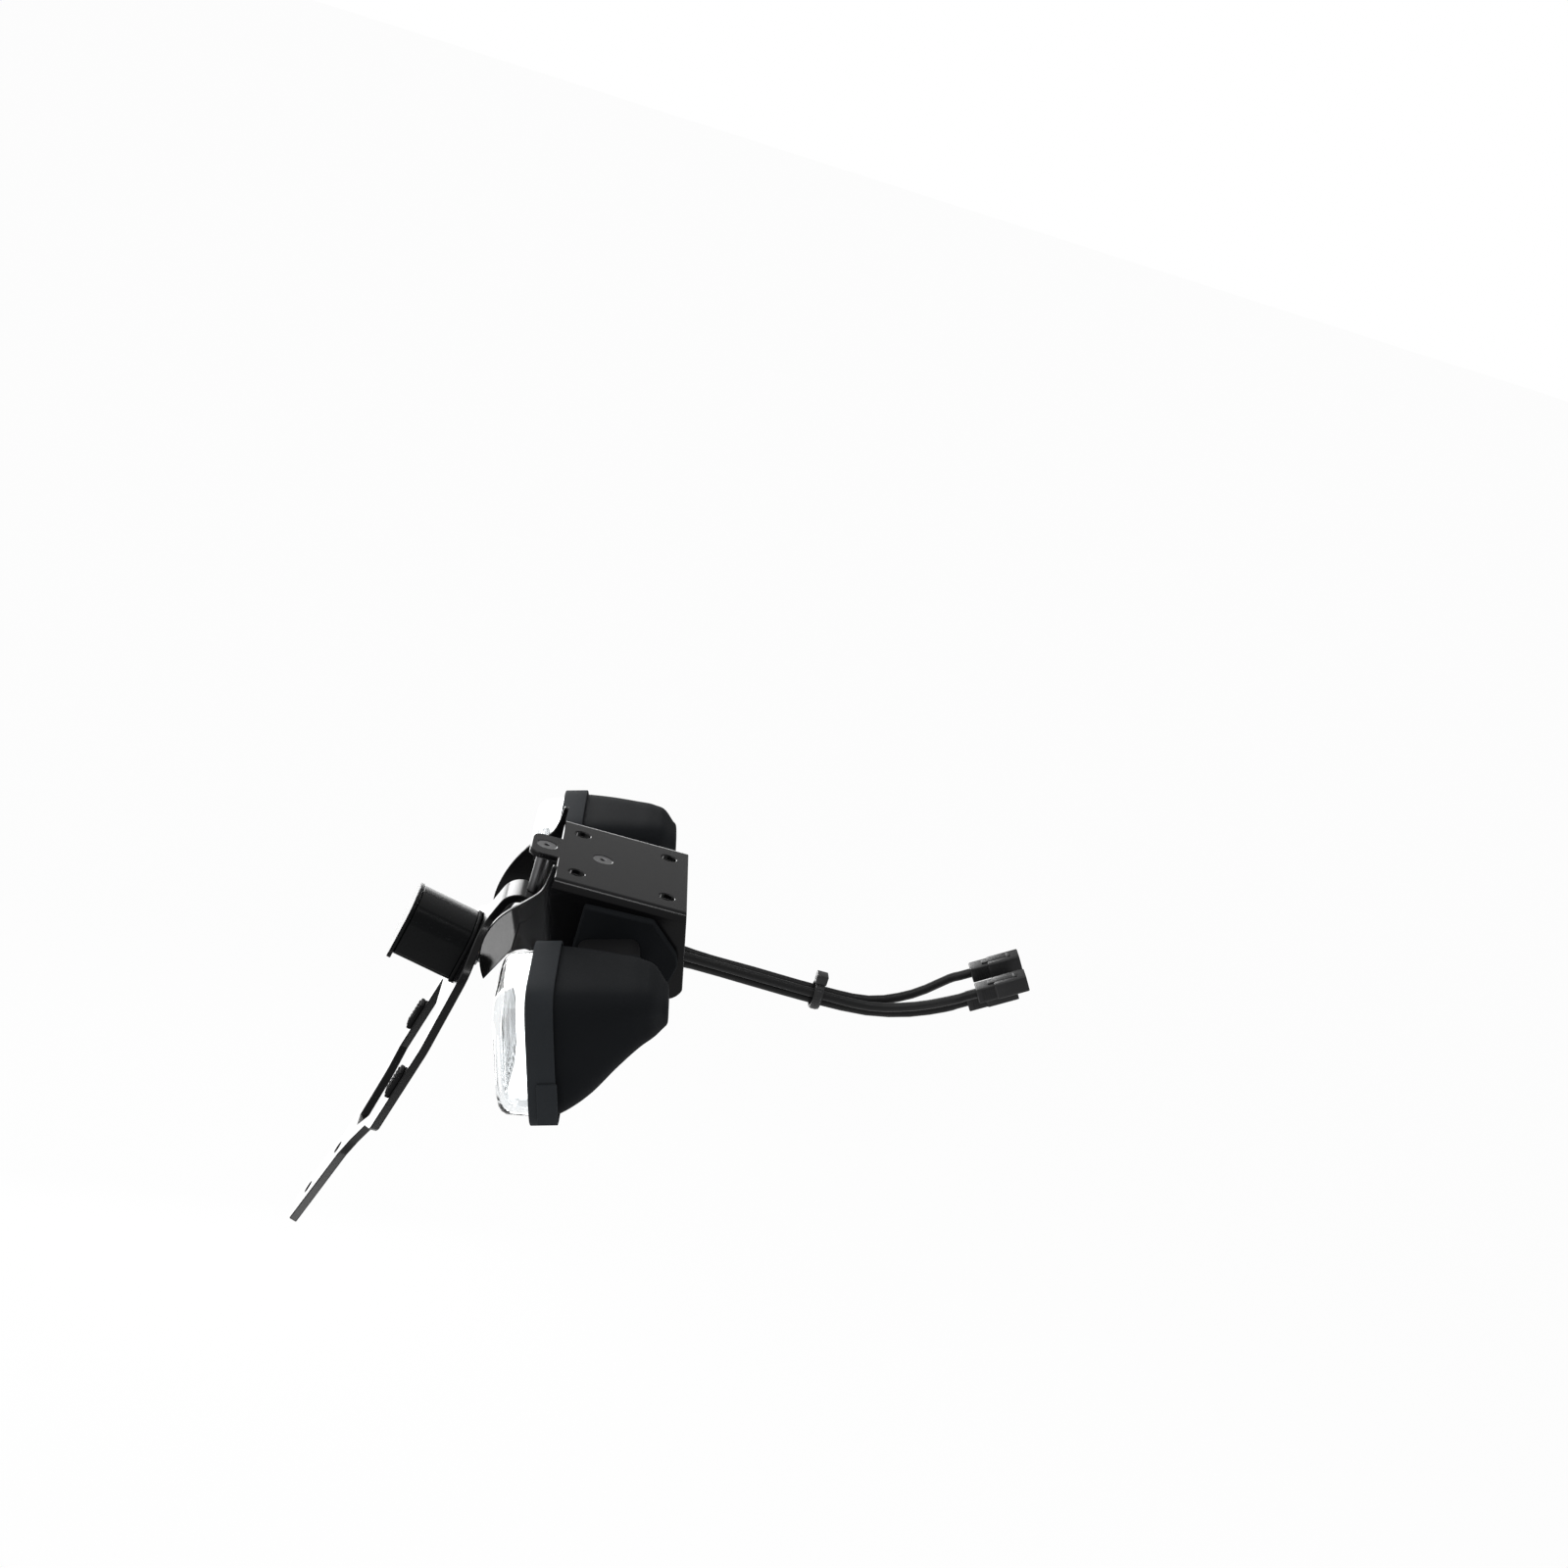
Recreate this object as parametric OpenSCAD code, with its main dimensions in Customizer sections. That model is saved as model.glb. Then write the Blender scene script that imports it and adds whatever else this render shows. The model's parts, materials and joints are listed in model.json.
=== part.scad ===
// Tail tidy for a motorbike: a folded bracket under the tail, a number plate
// bracket with its light, and two turn indicators with their leads.
// Millimetres. +X is the bike's right, +Y its front, +Z is square to the face
// that bolts under the tail. The origin is the middle of the bolt pattern.

/* [Main bracket] */
// width over the two side flanges
bracket_w = 72; // [68:0.5:80]
// sheet of the main bracket
bracket_t = 2.5; // [2:0.1:3]
// outside radius of its folds
fold_r = 4; // [3.2:0.1:6]
// rear end of the top plate, behind the origin
top_rear = 27.5; // [26:0.5:30]
// front end of the top plate, ahead of the origin
top_front = 27.5; // [26:0.5:34]
// how far the lower front corner of a flange stands ahead of the top plate
flange_rake = 9; // [0:0.5:14]
// height of a flange at its front corner
flange_h = 38.5; // [36:0.5:44]
// radius of that lower front corner
flange_corner_r = 8; // [3:0.5:12]
// angle that each wing turns in
wing_turn = 25; // [5:1:30]
// lean of the line that a wing turns about
wing_lean = 21; // [0:1:25]
// bolt pattern across the bike
mount_x = 44; // [36:0.5:46]
// bolt pattern along the bike
mount_y = 38; // [30:0.5:38]
// bolt holes, radius
mount_hole_r = 3.3; // [2.2:0.1:3.6]
// half width of the tab that carries the rear neck bolt
tab_half = 11; // [8:0.5:14]

/* [Number plate bracket] */
// sheet of the plate bracket
plate_t = 3.5; // [2.5:0.1:4]
// drop of the neck below the mounting face
neck_drop = 21.5; // [18:0.5:24]
// half width of the neck
neck_half = 9; // [8:0.5:11]
// front end of the neck, behind the origin
neck_front = 2; // [0:0.5:6]
// rear end of the flat part of the neck
neck_rear = 37; // [36.5:0.5:40]
// outside radius of the crest
crest_r = 9; // [7:0.5:12]
// angle through which the crest turns down
crest_turn = 68; // [60:1:75]
// straight under the crest
upper_len = 12.5; // [9:0.5:16]
// slope of the light's facet from upright
light_tilt = 12; // [8:0.5:16]
// length of the light's facet
light_facet = 43; // [40:0.5:50]
// slope of the middle facet from upright
mid_tilt = 15.5; // [13:0.5:18]
// length of the middle facet
mid_facet = 42.5; // [40:0.5:50]
// slope of the tongue from upright
tongue_tilt = 19.5; // [18:0.5:24]
// length of the tongue's facet
tongue_facet = 68.5; // [62:0.5:74]
// half width of the plate
plate_half = 38; // [36:0.5:44]
// bolt holes for the number plate, radius
plate_hole_r = 2.7; // [2.1:0.1:3.3]
// distance between those two holes
plate_hole_gap = 24; // [18:1:30]
// half width of the tongue
tongue_half = 10; // [8:0.5:12]
// width of the side arms
arm_w = 11; // [8:0.5:12]

/* [Plate light] */
// width of the housing
light_w = 32; // [30:0.5:34]
// height of the housing
light_h = 25; // [23:0.5:27]
// how far the housing stands off
light_len = 25.5; // [22:0.5:28]
// wall of the housing
light_wall = 1.8; // [1.4:0.1:2.2]
// thickness of the rim on its outer end
rim_t = 1.8; // [1.5:0.1:3]
// how far the rim's lip hangs below the housing
rim_lip = 2.4; // [1:0.1:3]
// thickness of the gasket
gasket_t = 1.5; // [1:0.1:2]
// distance between its two studs
stud_gap = 20; // [18:0.5:20]

/* [Indicators] */
// middle of an indicator from the bike's middle
ind_x = 89; // [86:0.5:100]
// half width at the bezel
ind_half_w = 30.5; // [28:0.5:33]
// height of the body above its axis
ind_up = 26.5; // [25:0.5:28]
// height of the body below its axis
ind_down = 27; // [25:0.5:28]
// depth of the body
ind_depth = 49.5; // [48:0.5:56]
// how far the lens stands out
lens_out = 15; // [10:0.5:17]
// wall of the body
ind_wall = 2.2; // [1.6:0.1:2.6]
// wall of the lens
lens_wall = 1.8; // [1.4:0.1:2.2]
// tilt of the indicators
ind_tilt = 17; // [14:0.5:20]
// width of the stem
stem_w = 25; // [20:0.5:28]
// height of the stem
stem_h = 16; // [14:0.5:18]
// radius of the hollow stud that clamps the stem
stud_r = 5; // [4.6:0.1:5.5]
// thickness of the shoulder plate
shoulder_t = 5; // [3:0.5:6]

/* [Leads] */
// diameter of each sheathed lead
lead_d = 4; // [3:0.1:4.4]
// height of the bundle below the mounting face
bundle_drop = 33; // [32:0.5:36]
// place of the cable tie, ahead of the origin
tie_y = 95; // [80:1:110]

/* [Hidden] */
$fn = 48;

// clearance of a bolt in its hole, and of a piece that drops into another
hole_gap = 0.2;
fit_gap = 0.2;
eps = 0.01;
half_w = bracket_w / 2;

// rear edge of a wing, from its top down to its tip, as [y, z]
wing_edge = [[-29.4, 5.4], [-29.8, -0.2], [-31.2, -6.4], [-35.1, -11.4], [-40.1, -16.8],
    [-44.5, -23.8], [-47.2, -31.2], [-48.2, -38], [-47.6, -45], [-45.8, -50.4], [-43.7, -54]];
// where the wing's under edge meets the flange's
wing_root = [-36, -35];
// height of the hook above the mounting face, and the flange's lowest line at the wing
hook_h = 5.4;
flange_rear_z = -32.5;
wing_reach = 26;
// a point on the line that a wing turns about, the flat ahead of it, and the turn's radius
wing_pivot = [-34, -26];
wing_start = 21;
wing_r = 8;

// neck bolts, M4
neck_bolt_r = 2;
neck_bolt_y = [-33, -9];
spacer_wall = 0.9;
neck_nut_r = 4.04;
neck_nut_h = 3.2;
csk_r = 4.2;

// plate bracket outline: the shoulders start above the light's facet and run down, the opening starts
// above the middle facet, and the arms' ends stand above the tongue's facet
shoulder_over = 9.7;
shoulder_run = 20;
opening_over = 6.2;
edge_over = 2.4;
foot_over = 8;
// the opening's point and the foot's corners, as half width and drop below the arms' ends
vee_inner = [5, 17];
vee_outer = [[22, 7], [14, 20]];
pad_size = [8, 13, 2.4];
pad_along = 26;

// plate light
light_along = 8.8;
stud_r_light = 1.5;
// how far a stud stands out behind the plate, its nut, and the housing's own floor
stud_end = 3.6;
light_nut_h = 2.5;
light_floor = 2.5;
rim_proud = 0.45;
cable_r = 3.2;
lens_half = 10.8;
lens_from = 6;
lens_to = 20;
board_t = 1.6;

// indicator: its axis at the lens rim, and the stem's place in its own axes
ind_y = -18.6;
ind_z = -40;
stem_at = [24.6, 9.2];
boss_from = ind_half_w;
boss_len = 14;
boss_wall = 1.5;
bezel_t = 1;
bezel_depth = 8;
bezel_front = 2.4;
// the stepped lug on each flank of the bezel, as [along, up, out], and its lower end as a share of the body's
lug = [7.6, 16.8, 1];
lug_low = 0.86;
flange_bore = stud_r + hole_gap;
stem_bore = lead_d / 2 + 0.6;
clamp_h = 7;
clamp_flange = 1.8;
lamp_r = 7;
reflector_y = 2;
reflector_t = 1.4;
// the bowl's mouth, depth and wall, then the room left round the lamp
bowl_r = 18.5;
bowl_deep = 15;
bowl_wall = 1;
lamp_room = 1.2;
// the lamp's cap, its collar and its bulb
lamp_len = 12;
collar_r = 9.4;
collar_t = 2;
bulb_r = 6.2;
// shoulder plate outline, as [y, z]
shoulder_line = [[-13, -6], [15.4, -5], [28.2, -16.4], [30, -20.3], [28.5, -29], [22, -34.5],
    [-8, -34.5], [-13, -30]];

// leads
lead_r = lead_d / 2;
bundle_r = lead_r * 1.2;
lead_end_y = 150;
// the bundle's points ahead of the origin, their rise, and how far the leads spread there, across and up
run_y = [40, 66, tie_y, 118, 136, lead_end_y];
rise = [0, -0.5, -1, 0, 6, 14.5];
spread = [[1, 1], [1, 1], [1, 1], [1.3, 1], [2.6, 1.6], [4.4, 2.4]];
// how a side lead turns from its stud into the bundle, as [x, then y and z from the stud's axis]
turn_in = [[21, 0, 0], [12.5, 3, -1.4], [6, 14, -6]];
// the light's lead from the grommet up into the bundle
light_way = [[1.5, -37, -50], [6, -30, -41], [8, -20, -34], [7.4, -4, -33.5], [3, 20, -35.5]];
end_rise = 33;
connector = [9, 22, 8];
tie_t = 1.1;
tie_w = 4;

// Shared functions
function unit(v) = v / norm(v);
function rev(l) = [for (i = [len(l) - 1:-1:0]) l[i]];
function arc(c, r, a0, a1, n) =
    [for (i = [0:n]) c + r * [cos(a0 + (a1 - a0) * i / n), sin(a0 + (a1 - a0) * i / n)]];

// one face of a bent sheet, from [straight, turn, radius] steps; each point keeps its heading
function walk(steps, p, h, i = 0) =
    i >= len(steps) ? [[p, h]] :
    let (len_i = steps[i][0], turn = steps[i][1], r = steps[i][2])
    let (q = p + len_i * [cos(h), sin(h)], s = sign(turn), n = ceil(abs(turn) / 8))
    let (c = q + s * r * [-sin(h), cos(h)])
    turn == 0 ? concat([[p, h]], walk(steps, q, h, i + 1)) :
    concat([[p, h]],
        [for (k = [0:n - 1]) let (a = h + turn * k / n) [c + s * r * [sin(a), -cos(a)], a]],
        walk(steps, c + s * r * [sin(h + turn), -cos(h + turn)], h + turn, i + 1));
function face(path) = [for (p = path) p[0]];
function shifted(path, off) = [for (p = path) p[0] + off * [-sin(p[1]), cos(p[1])]];
function ribbon(path, off) = concat(face(path), rev(shifted(path, off)));

// smooth line through points
function spline_at(p, i, t) =
    let (a = p[max(i - 1, 0)], b = p[i], c = p[min(i + 1, len(p) - 1)], d = p[min(i + 2, len(p) - 1)])
    0.5 * (2 * b + (c - a) * t + (2 * a - 5 * b + 4 * c - d) * t * t
        + (3 * b - a - 3 * c + d) * t * t * t);
function spline(p, n) = concat([for (i = [0:len(p) - 2]) for (k = [0:n - 1]) spline_at(p, i, k / n)],
    [p[len(p) - 1]]);

// rounded box outline: half width, top, bottom, and how square it is
function softbox(hw, up, down, e, n) =
    [for (i = [0:n - 1]) let (a = 360 * i / n, c = cos(a), s = sin(a))
        [hw * sign(c) * pow(abs(c), 2 / e), (up - down) / 2 + (up + down) / 2 * sign(s) * pow(abs(s), 2 / e)]];

// solid through rings [y, half width, up, down, squareness], closed at both ends
module loft(st, n) {
    m = len(st);
    pts = concat([for (s = st) for (q = softbox(s[1], s[2], s[3], s[4], n)) [q[0], s[0], q[1]]],
        [[0, st[0][0], (st[0][2] - st[0][3]) / 2], [0, st[m - 1][0], (st[m - 1][2] - st[m - 1][3]) / 2]]);
    sides = [for (j = [0:m - 2]) for (i = [0:n - 1])
        let (a = j * n + i, b = j * n + (i + 1) % n) each [[a, b, a + n], [b, b + n, a + n]]];
    ends = [for (i = [0:n - 1])
        each [[m * n, (i + 1) % n, i], [m * n + 1, (m - 1) * n + i, (m - 1) * n + (i + 1) % n]]];
    polyhedron(points = pts, faces = concat(sides, ends));
}

// round tube through points
function tangent(p, i) = unit(p[min(i + 1, len(p) - 1)] - p[max(i - 1, 0)]);
module tube(p, r, n) {
    m = len(p);
    pts = [for (i = [0:m - 1]) let (t = tangent(p, i), u = unit(cross(t, [0, 0, 1])), w = cross(t, u))
        for (k = [0:n - 1]) p[i] + r * (cos(360 * k / n) * u + sin(360 * k / n) * w)];
    sides = [for (j = [0:m - 2]) for (i = [0:n - 1])
        let (a = j * n + i, b = j * n + (i + 1) % n) each [[a, a + n, b], [b, a + n, b + n]]];
    caps = [[for (i = [0:n - 1]) i], [for (i = [n - 1:-1:0]) (m - 1) * n + i]];
    polyhedron(points = pts, faces = concat(sides, caps));
}

// a side view outline [y, z], as a block from x0 to x1
module across(x0, x1) {
    translate([x0, 0, 0]) rotate([90, 0, 90]) linear_extrude(x1 - x0) children();
}
// a view from behind [x, z], as a block along y
module along(y0, y1) {
    translate([0, y1, 0]) rotate([90, 0, 0]) linear_extrude(y1 - y0) children();
}
module mirrored() {
    mirror([1, 0, 0]) children();
}

// Main bracket
flange_front = top_front + flange_rake;
wing_side = concat(spline(wing_edge, 4), [wing_root, [-31, flange_rear_z], [-12, flange_rear_z],
    [-12, -fold_r], [-top_rear, -fold_r], [-top_rear, hook_h]]);
function u_line(w, r, top) = concat([[-w, -70]], arc([-w + r, top - r], r, 180, 90, 6),
    arc([w - r, top - r], r, 90, 0, 6), [[w, -70]]);

module folded_top() {
    intersection() {
        along(-60, flange_front + 2) difference() {
            polygon(u_line(half_w, fold_r, 0));
            polygon(u_line(half_w - bracket_t, fold_r - bracket_t, -bracket_t));
        }
        across(-half_w - 1, half_w + 1) polygon(concat(
            [[-top_rear, 1], [-top_rear, -14], [-36, -22], wing_root, [-31, flange_rear_z]],
            arc([flange_front - flange_corner_r - 1, -flange_h + flange_corner_r],
                flange_corner_r, 270, 345, 6),
            [[top_front, 1]]));
    }
}
module wing() {
    intersection() {
        translate([0, wing_pivot[0], wing_pivot[1]]) rotate([wing_lean, 0, 0])
            translate([0, 0, -50]) linear_extrude(100)
            polygon(ribbon(walk([[wing_start, -wing_turn, wing_r], [wing_reach, 0, 0]],
                [half_w, wing_start], 270), -bracket_t));
        across(0, half_w + 1) polygon(wing_side);
    }
}
module tab() {
    y0 = neck_bolt_y[0] - tab_half * 0.6;
    translate([0, 0, -bracket_t]) linear_extrude(bracket_t) polygon(concat(
        [[tab_half, -top_rear + 2]],
        arc([tab_half - 5, y0 + 5], 5, 0, -90, 6), arc([-tab_half + 5, y0 + 5], 5, 270, 180, 6),
        [[-tab_half, -top_rear + 2]]));
}
module main_bracket() {
    color("DimGray") difference() {
        union() {
            folded_top();
            wing();
            mirrored() wing();
            tab();
        }
        for (x = [-1, 1], y = [-1, 1])
            translate([x * mount_x / 2, y * mount_y / 2, -10]) cylinder(h = 20, r = mount_hole_r);
        for (y = neck_bolt_y) {
            translate([0, y, -10]) cylinder(h = 20, r = neck_bolt_r + hole_gap / 2);
            translate([0, y, -csk_r + neck_bolt_r])
                cylinder(h = csk_r - neck_bolt_r, r1 = neck_bolt_r, r2 = csk_r);
        }
        translate([-half_w - 5, stem_yz[0], stem_yz[1]]) rotate([0, 90, 0])
            cylinder(h = bracket_w + 10, r = flange_bore);
    }
}

// Number plate bracket
plate_path = walk([[neck_rear - neck_front, crest_turn, crest_r],
    [upper_len, 90 - crest_turn - light_tilt, 30],
    [light_facet, light_tilt - mid_tilt, 40],
    [mid_facet, mid_tilt - tongue_tilt, 40],
    [tongue_facet, 0, 0]], [-neck_front, -neck_drop], 180);
// start of the light's facet: the point where the heading first reaches its slope
light_i = [for (i = [0:len(plate_path) - 1]) if (abs(plate_path[i][1] - 270 + light_tilt) < 0.01) i][0];
mid_i = [for (i = [0:len(plate_path) - 1]) if (abs(plate_path[i][1] - 270 + mid_tilt) < 0.01) i][0];
tongue_i = [for (i = [0:len(plate_path) - 1]) if (abs(plate_path[i][1] - 270 + tongue_tilt) < 0.01) i][0];
end_z = plate_path[len(plate_path) - 1][0][1];
shoulder_top = plate_path[light_i][0][1] + shoulder_over;
shoulder_end = shoulder_top - shoulder_run;
opening_top = plate_path[mid_i][0][1] + opening_over;
plate_end = plate_path[tongue_i][0][1] + edge_over;
arm_end = plate_end + foot_over;

function blend(s) = (1 - cos(180 * s)) / 2;
function right_line() = concat([[neck_half, 5], [neck_half, shoulder_top]],
    [for (k = [1:8]) [neck_half + (plate_half - neck_half) * blend(k / 8),
        shoulder_top + (shoulder_end - shoulder_top) * k / 8]],
    [[plate_half, plate_end + 2], [plate_half - 2, plate_end]], [for (v = vee_outer) [v[0], plate_end - v[1]]],
    [[tongue_half, plate_end - vee_outer[1][1] - 10], [tongue_half, end_z - 10]]);
function both_sides(l) = concat(l, [for (p = rev(l)) [-p[0], p[1]]]);
function opening_line() = let (x = plate_half - arm_w) concat(
    arc([x - 6, opening_top - 6], 6, 90, 0, 6), [[x, arm_end], [vee_inner[0], plate_end - vee_inner[1]]]);

module plate_bracket() {
    color("Black") difference() {
        intersection() {
            across(-plate_half - 1, plate_half + 1) polygon(ribbon(plate_path, plate_t));
            along(-110, 5) polygon(both_sides(right_line()));
        }
        along(-110, -50) polygon(both_sides(opening_line()));
        for (y = neck_bolt_y)
            translate([0, y, -40]) cylinder(h = 30, r = neck_bolt_r + hole_gap / 2);
        at_light() {
            translate([0, 0, -10]) cylinder(h = 20, r = cable_r + 1);
            for (x = [-1, 1])
                translate([x * stud_gap / 2, 0, -10]) cylinder(h = 20, r = stud_r_light + hole_gap);
        }
        at_tongue() for (s = [-1, 1])
            translate([0, s * plate_hole_gap / 2, -10]) cylinder(h = 20, r = plate_hole_r);
    }
}
module at_light() {
    p = plate_path[light_i];
    q = p[0] + light_along * [cos(p[1]), sin(p[1])];
    translate([0, q[0], q[1]]) rotate([90 - light_tilt, 0, 0]) children();
}
module at_mid() {
    p = plate_path[mid_i];
    q = p[0] + pad_along * [cos(p[1]), sin(p[1])];
    translate([0, q[0], q[1]]) rotate([90 - mid_tilt, 0, 0]) children();
}
module at_tongue() {
    p = plate_path[len(plate_path) - 1];
    q = p[0] - 24 * [cos(p[1]), sin(p[1])];
    translate([0, q[0], q[1]]) rotate([90 - tongue_tilt, 0, 0]) children();
}
module plate_pads() {
    color("DarkSlateGray") at_mid() for (s = [-1, 1])
        translate([s * (plate_half - arm_w / 2) - pad_size[0] / 2, 0, 0]) cube(pad_size);
}
module neck_spacers() {
    color("Silver") for (y = neck_bolt_y) translate([0, y, -neck_drop]) difference() {
        cylinder(h = neck_drop - bracket_t, r = neck_bolt_r + hole_gap / 2 + spacer_wall);
        translate([0, 0, -1]) cylinder(h = neck_drop + 2, r = neck_bolt_r + hole_gap / 2);
    }
}
module neck_bolts() {
    color("Gray") for (y = neck_bolt_y) translate([0, y, 0]) {
        translate([0, 0, -neck_drop - plate_t - neck_nut_h - 1])
            cylinder(h = neck_drop + plate_t + neck_nut_h + 1, r = neck_bolt_r);
        translate([0, 0, -csk_r + neck_bolt_r + 0.15]) difference() {
            cylinder(h = csk_r - neck_bolt_r - 0.15, r1 = neck_bolt_r, r2 = csk_r - 0.15);
            translate([0, 0, 0.8]) cylinder(h = 3, r = 1.3, $fn = 6);
        }
    }
}
module neck_nuts() {
    color("Silver") for (y = neck_bolt_y) translate([0, y, -neck_drop - plate_t - neck_nut_h]) difference() {
        cylinder(h = neck_nut_h, r = neck_nut_r, $fn = 6);
        translate([0, 0, -1]) cylinder(h = neck_nut_h + 2, r = neck_bolt_r + 0.05);
    }
}

// Plate light, in its own axes: z out of the plate, y up it
light_top = gasket_t + light_len;
function light_line(g) = let (w = light_w / 2 + g, u = light_h / 2 + g, r = 8 + g, b = 2)
    concat(arc([-w + b, -u + b], b, 180, 270, 3), arc([w - b, -u + b], b, 270, 360, 3),
        arc([w - r, u - r - 1.6], r, 0, 70, 8), [[0, u]], arc([-w + r, u - r - 1.6], r, 110, 180, 8));
module light_gasket() {
    color("Black") at_light() linear_extrude(gasket_t) difference() {
        polygon(light_line(0.6));
        circle(r = cable_r + 1);
        for (x = [-1, 1]) translate([x * stud_gap / 2, 0]) circle(r = stud_r_light + hole_gap);
    }
}
module light_housing() {
    color("Black") at_light() difference() {
        translate([0, 0, gasket_t]) linear_extrude(light_len) polygon(light_line(0));
        translate([0, 0, gasket_t + light_floor]) linear_extrude(light_len) polygon(light_line(-light_wall));
        translate([0, 0, 0]) cylinder(h = 8, r = cable_r);
        for (x = [-1, 1]) translate([x * stud_gap / 2, 0, 0]) cylinder(h = 8, r = stud_r_light + 0.1);
        translate([-lens_half - fit_gap, -light_h / 2 - 1, lens_from - fit_gap])
            cube([2 * (lens_half + fit_gap), light_wall + 2, lens_to - lens_from + 2 * fit_gap]);
    }
}
module light_rim() {
    color("Black") at_light() translate([0, 0, light_top]) {
        linear_extrude(rim_t) polygon(light_line(rim_proud));
        translate([-light_w / 2 + 1, -light_h / 2 - rim_lip, 0]) cube([light_w - 2, rim_lip + 1, rim_t]);
        translate([0, 0, -2]) linear_extrude(2 + eps) difference() {
            polygon(light_line(-light_wall - fit_gap));
            polygon(light_line(-light_wall - fit_gap - 1.2));
        }
    }
}
module light_lens() {
    color("White", 0.6) at_light() union() {
        translate([-lens_half, -light_h / 2 - 0.4, lens_from])
            cube([2 * lens_half, light_wall + 0.4, lens_to - lens_from]);
        translate([-lens_half - 0.8, -light_h / 2 + light_wall, lens_from - 1])
            cube([2 * lens_half + 1.6, 1, lens_to - lens_from + 2]);
    }
}
module light_board() {
    w = light_w / 2 - light_wall - fit_gap;
    color("Green") at_light() union() {
        translate([-w, -1, lens_from - 0.5]) cube([2 * w, board_t, lens_to - lens_from + 1]);
        for (x = [-5, 5]) translate([x - 1.75, -2.2, 11]) cube([3.5, 1.4, 3.5]);
    }
}
module light_studs() {
    shank = plate_t + stud_end + gasket_t + light_floor;
    color("Silver") at_light() for (x = [-1, 1]) translate([x * stud_gap / 2, 0, -plate_t - stud_end]) union() {
        cylinder(h = shank, r = stud_r_light);
        translate([0, 0, shank]) cylinder(h = 1.2, r = stud_r_light + 1.1);
    }
}
module light_nuts() {
    color("Silver") at_light() for (x = [-1, 1])
        translate([x * stud_gap / 2, 0, -plate_t - light_nut_h]) difference() {
            union() {
                cylinder(h = light_nut_h, r = stud_r_light + 1.6, $fn = 6);
                translate([0, 0, light_nut_h - 0.6]) cylinder(h = 0.6, r = stud_r_light + 2);
            }
            translate([0, 0, -1]) cylinder(h = light_nut_h + 2, r = stud_r_light + 0.05);
        }
}
module light_grommet() {
    inner = lead_r + 0.1;
    collar = -plate_t - 0.05;
    color("Black") at_light() rotate_extrude() polygon([[inner, collar - 1.35], [cable_r + 2.2, collar - 1.35],
        [cable_r + 2.2, collar], [cable_r + 0.9, collar], [cable_r + 0.9, gasket_t - 0.1],
        [inner, gasket_t - 0.1]]);
}

// Indicators, in their own axes: y forward from the lens rim, z up
stem_yz = [ind_y + stem_at[0] * cos(ind_tilt) - stem_at[1] * sin(ind_tilt),
    ind_z + stem_at[0] * sin(ind_tilt) + stem_at[1] * cos(ind_tilt)];
// body rings as shares of its depth, half width, up and down, then squareness
body_form = [[0, 1, 1, 1, 6], [0.2, 0.97, 0.98, 0.88, 5.8], [0.42, 0.915, 0.95, 0.63, 5.2],
    [0.64, 0.815, 0.9, 0.25, 4.8], [0.82, 0.715, 0.85, -0.02, 4.4], [0.93, 0.615, 0.77, -0.13, 3.9],
    [1, 0.465, 0.61, -0.2, 3.2]];
function body_rings(g, cut) = [for (f = body_form) [f[0] * (ind_depth - cut), f[1] * ind_half_w - g,
    f[2] * ind_up - g, f[3] * ind_down - g, f[4]]];
module at_indicator() {
    translate([ind_x, ind_y, ind_z]) rotate([ind_tilt, 0, 0]) children();
}
function bezel_line(g) = softbox(ind_half_w + g, ind_up + g, ind_down + g, 6, 48);
module ind_body() {
    color("Black") at_indicator() difference() {
        union() {
            loft(body_rings(0, 0), 40);
            translate([-boss_from, stem_at[0], stem_at[1]]) rotate([90, 0, 90]) linear_extrude(boss_len)
                polygon(stem_line(boss_wall));
        }
        translate([0, -eps, 0]) loft(body_rings(ind_wall, ind_wall * 1.8), 40);
        translate([-boss_from - 1, stem_at[0], stem_at[1]]) rotate([0, 90, 0]) cylinder(h = 20, r = stem_bore);
    }
}
module ind_bezel() {
    color("Black") at_indicator() union() {
        difference() {
            along(-bezel_front, bezel_depth) polygon(bezel_line(bezel_t + fit_gap));
            along(-bezel_front + 0.8, bezel_depth + 1) polygon(bezel_line(fit_gap));
            along(-bezel_front - 1, 1) polygon(bezel_line(-1.4));
        }
        for (s = [-1, 1])
            translate([s * (ind_half_w + bezel_t + lug[2] / 2) - lug[2] / 2, bezel_t, -ind_down * lug_low])
                cube([lug[2], lug[0], lug[1]]);
    }
}
module ind_lens() {
    s = [[-0.1, 0, 6], [-1.4, 0, 6], [-1.5, -1.7, 6], [-lens_out * 0.74, -2.4, 6],
        [-lens_out * 0.92, -3.8, 5.4], [-lens_out, -7, 4.8]];
    color("White", 0.5) at_indicator() difference() {
        loft([for (q = rev(s)) [q[0], ind_half_w + q[1], ind_up + q[1], ind_down + q[1], q[2]]], 48);
        loft([for (q = rev(s)) [q[0] == -0.1 ? 0.5 : q[0] + (q[0] < -2 ? lens_wall : 0),
            ind_half_w + min(q[1], -1.7) - lens_wall, ind_up + min(q[1], -1.7) - lens_wall,
            ind_down + min(q[1], -1.7) - lens_wall, q[2]]], 48);
    }
}
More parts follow.
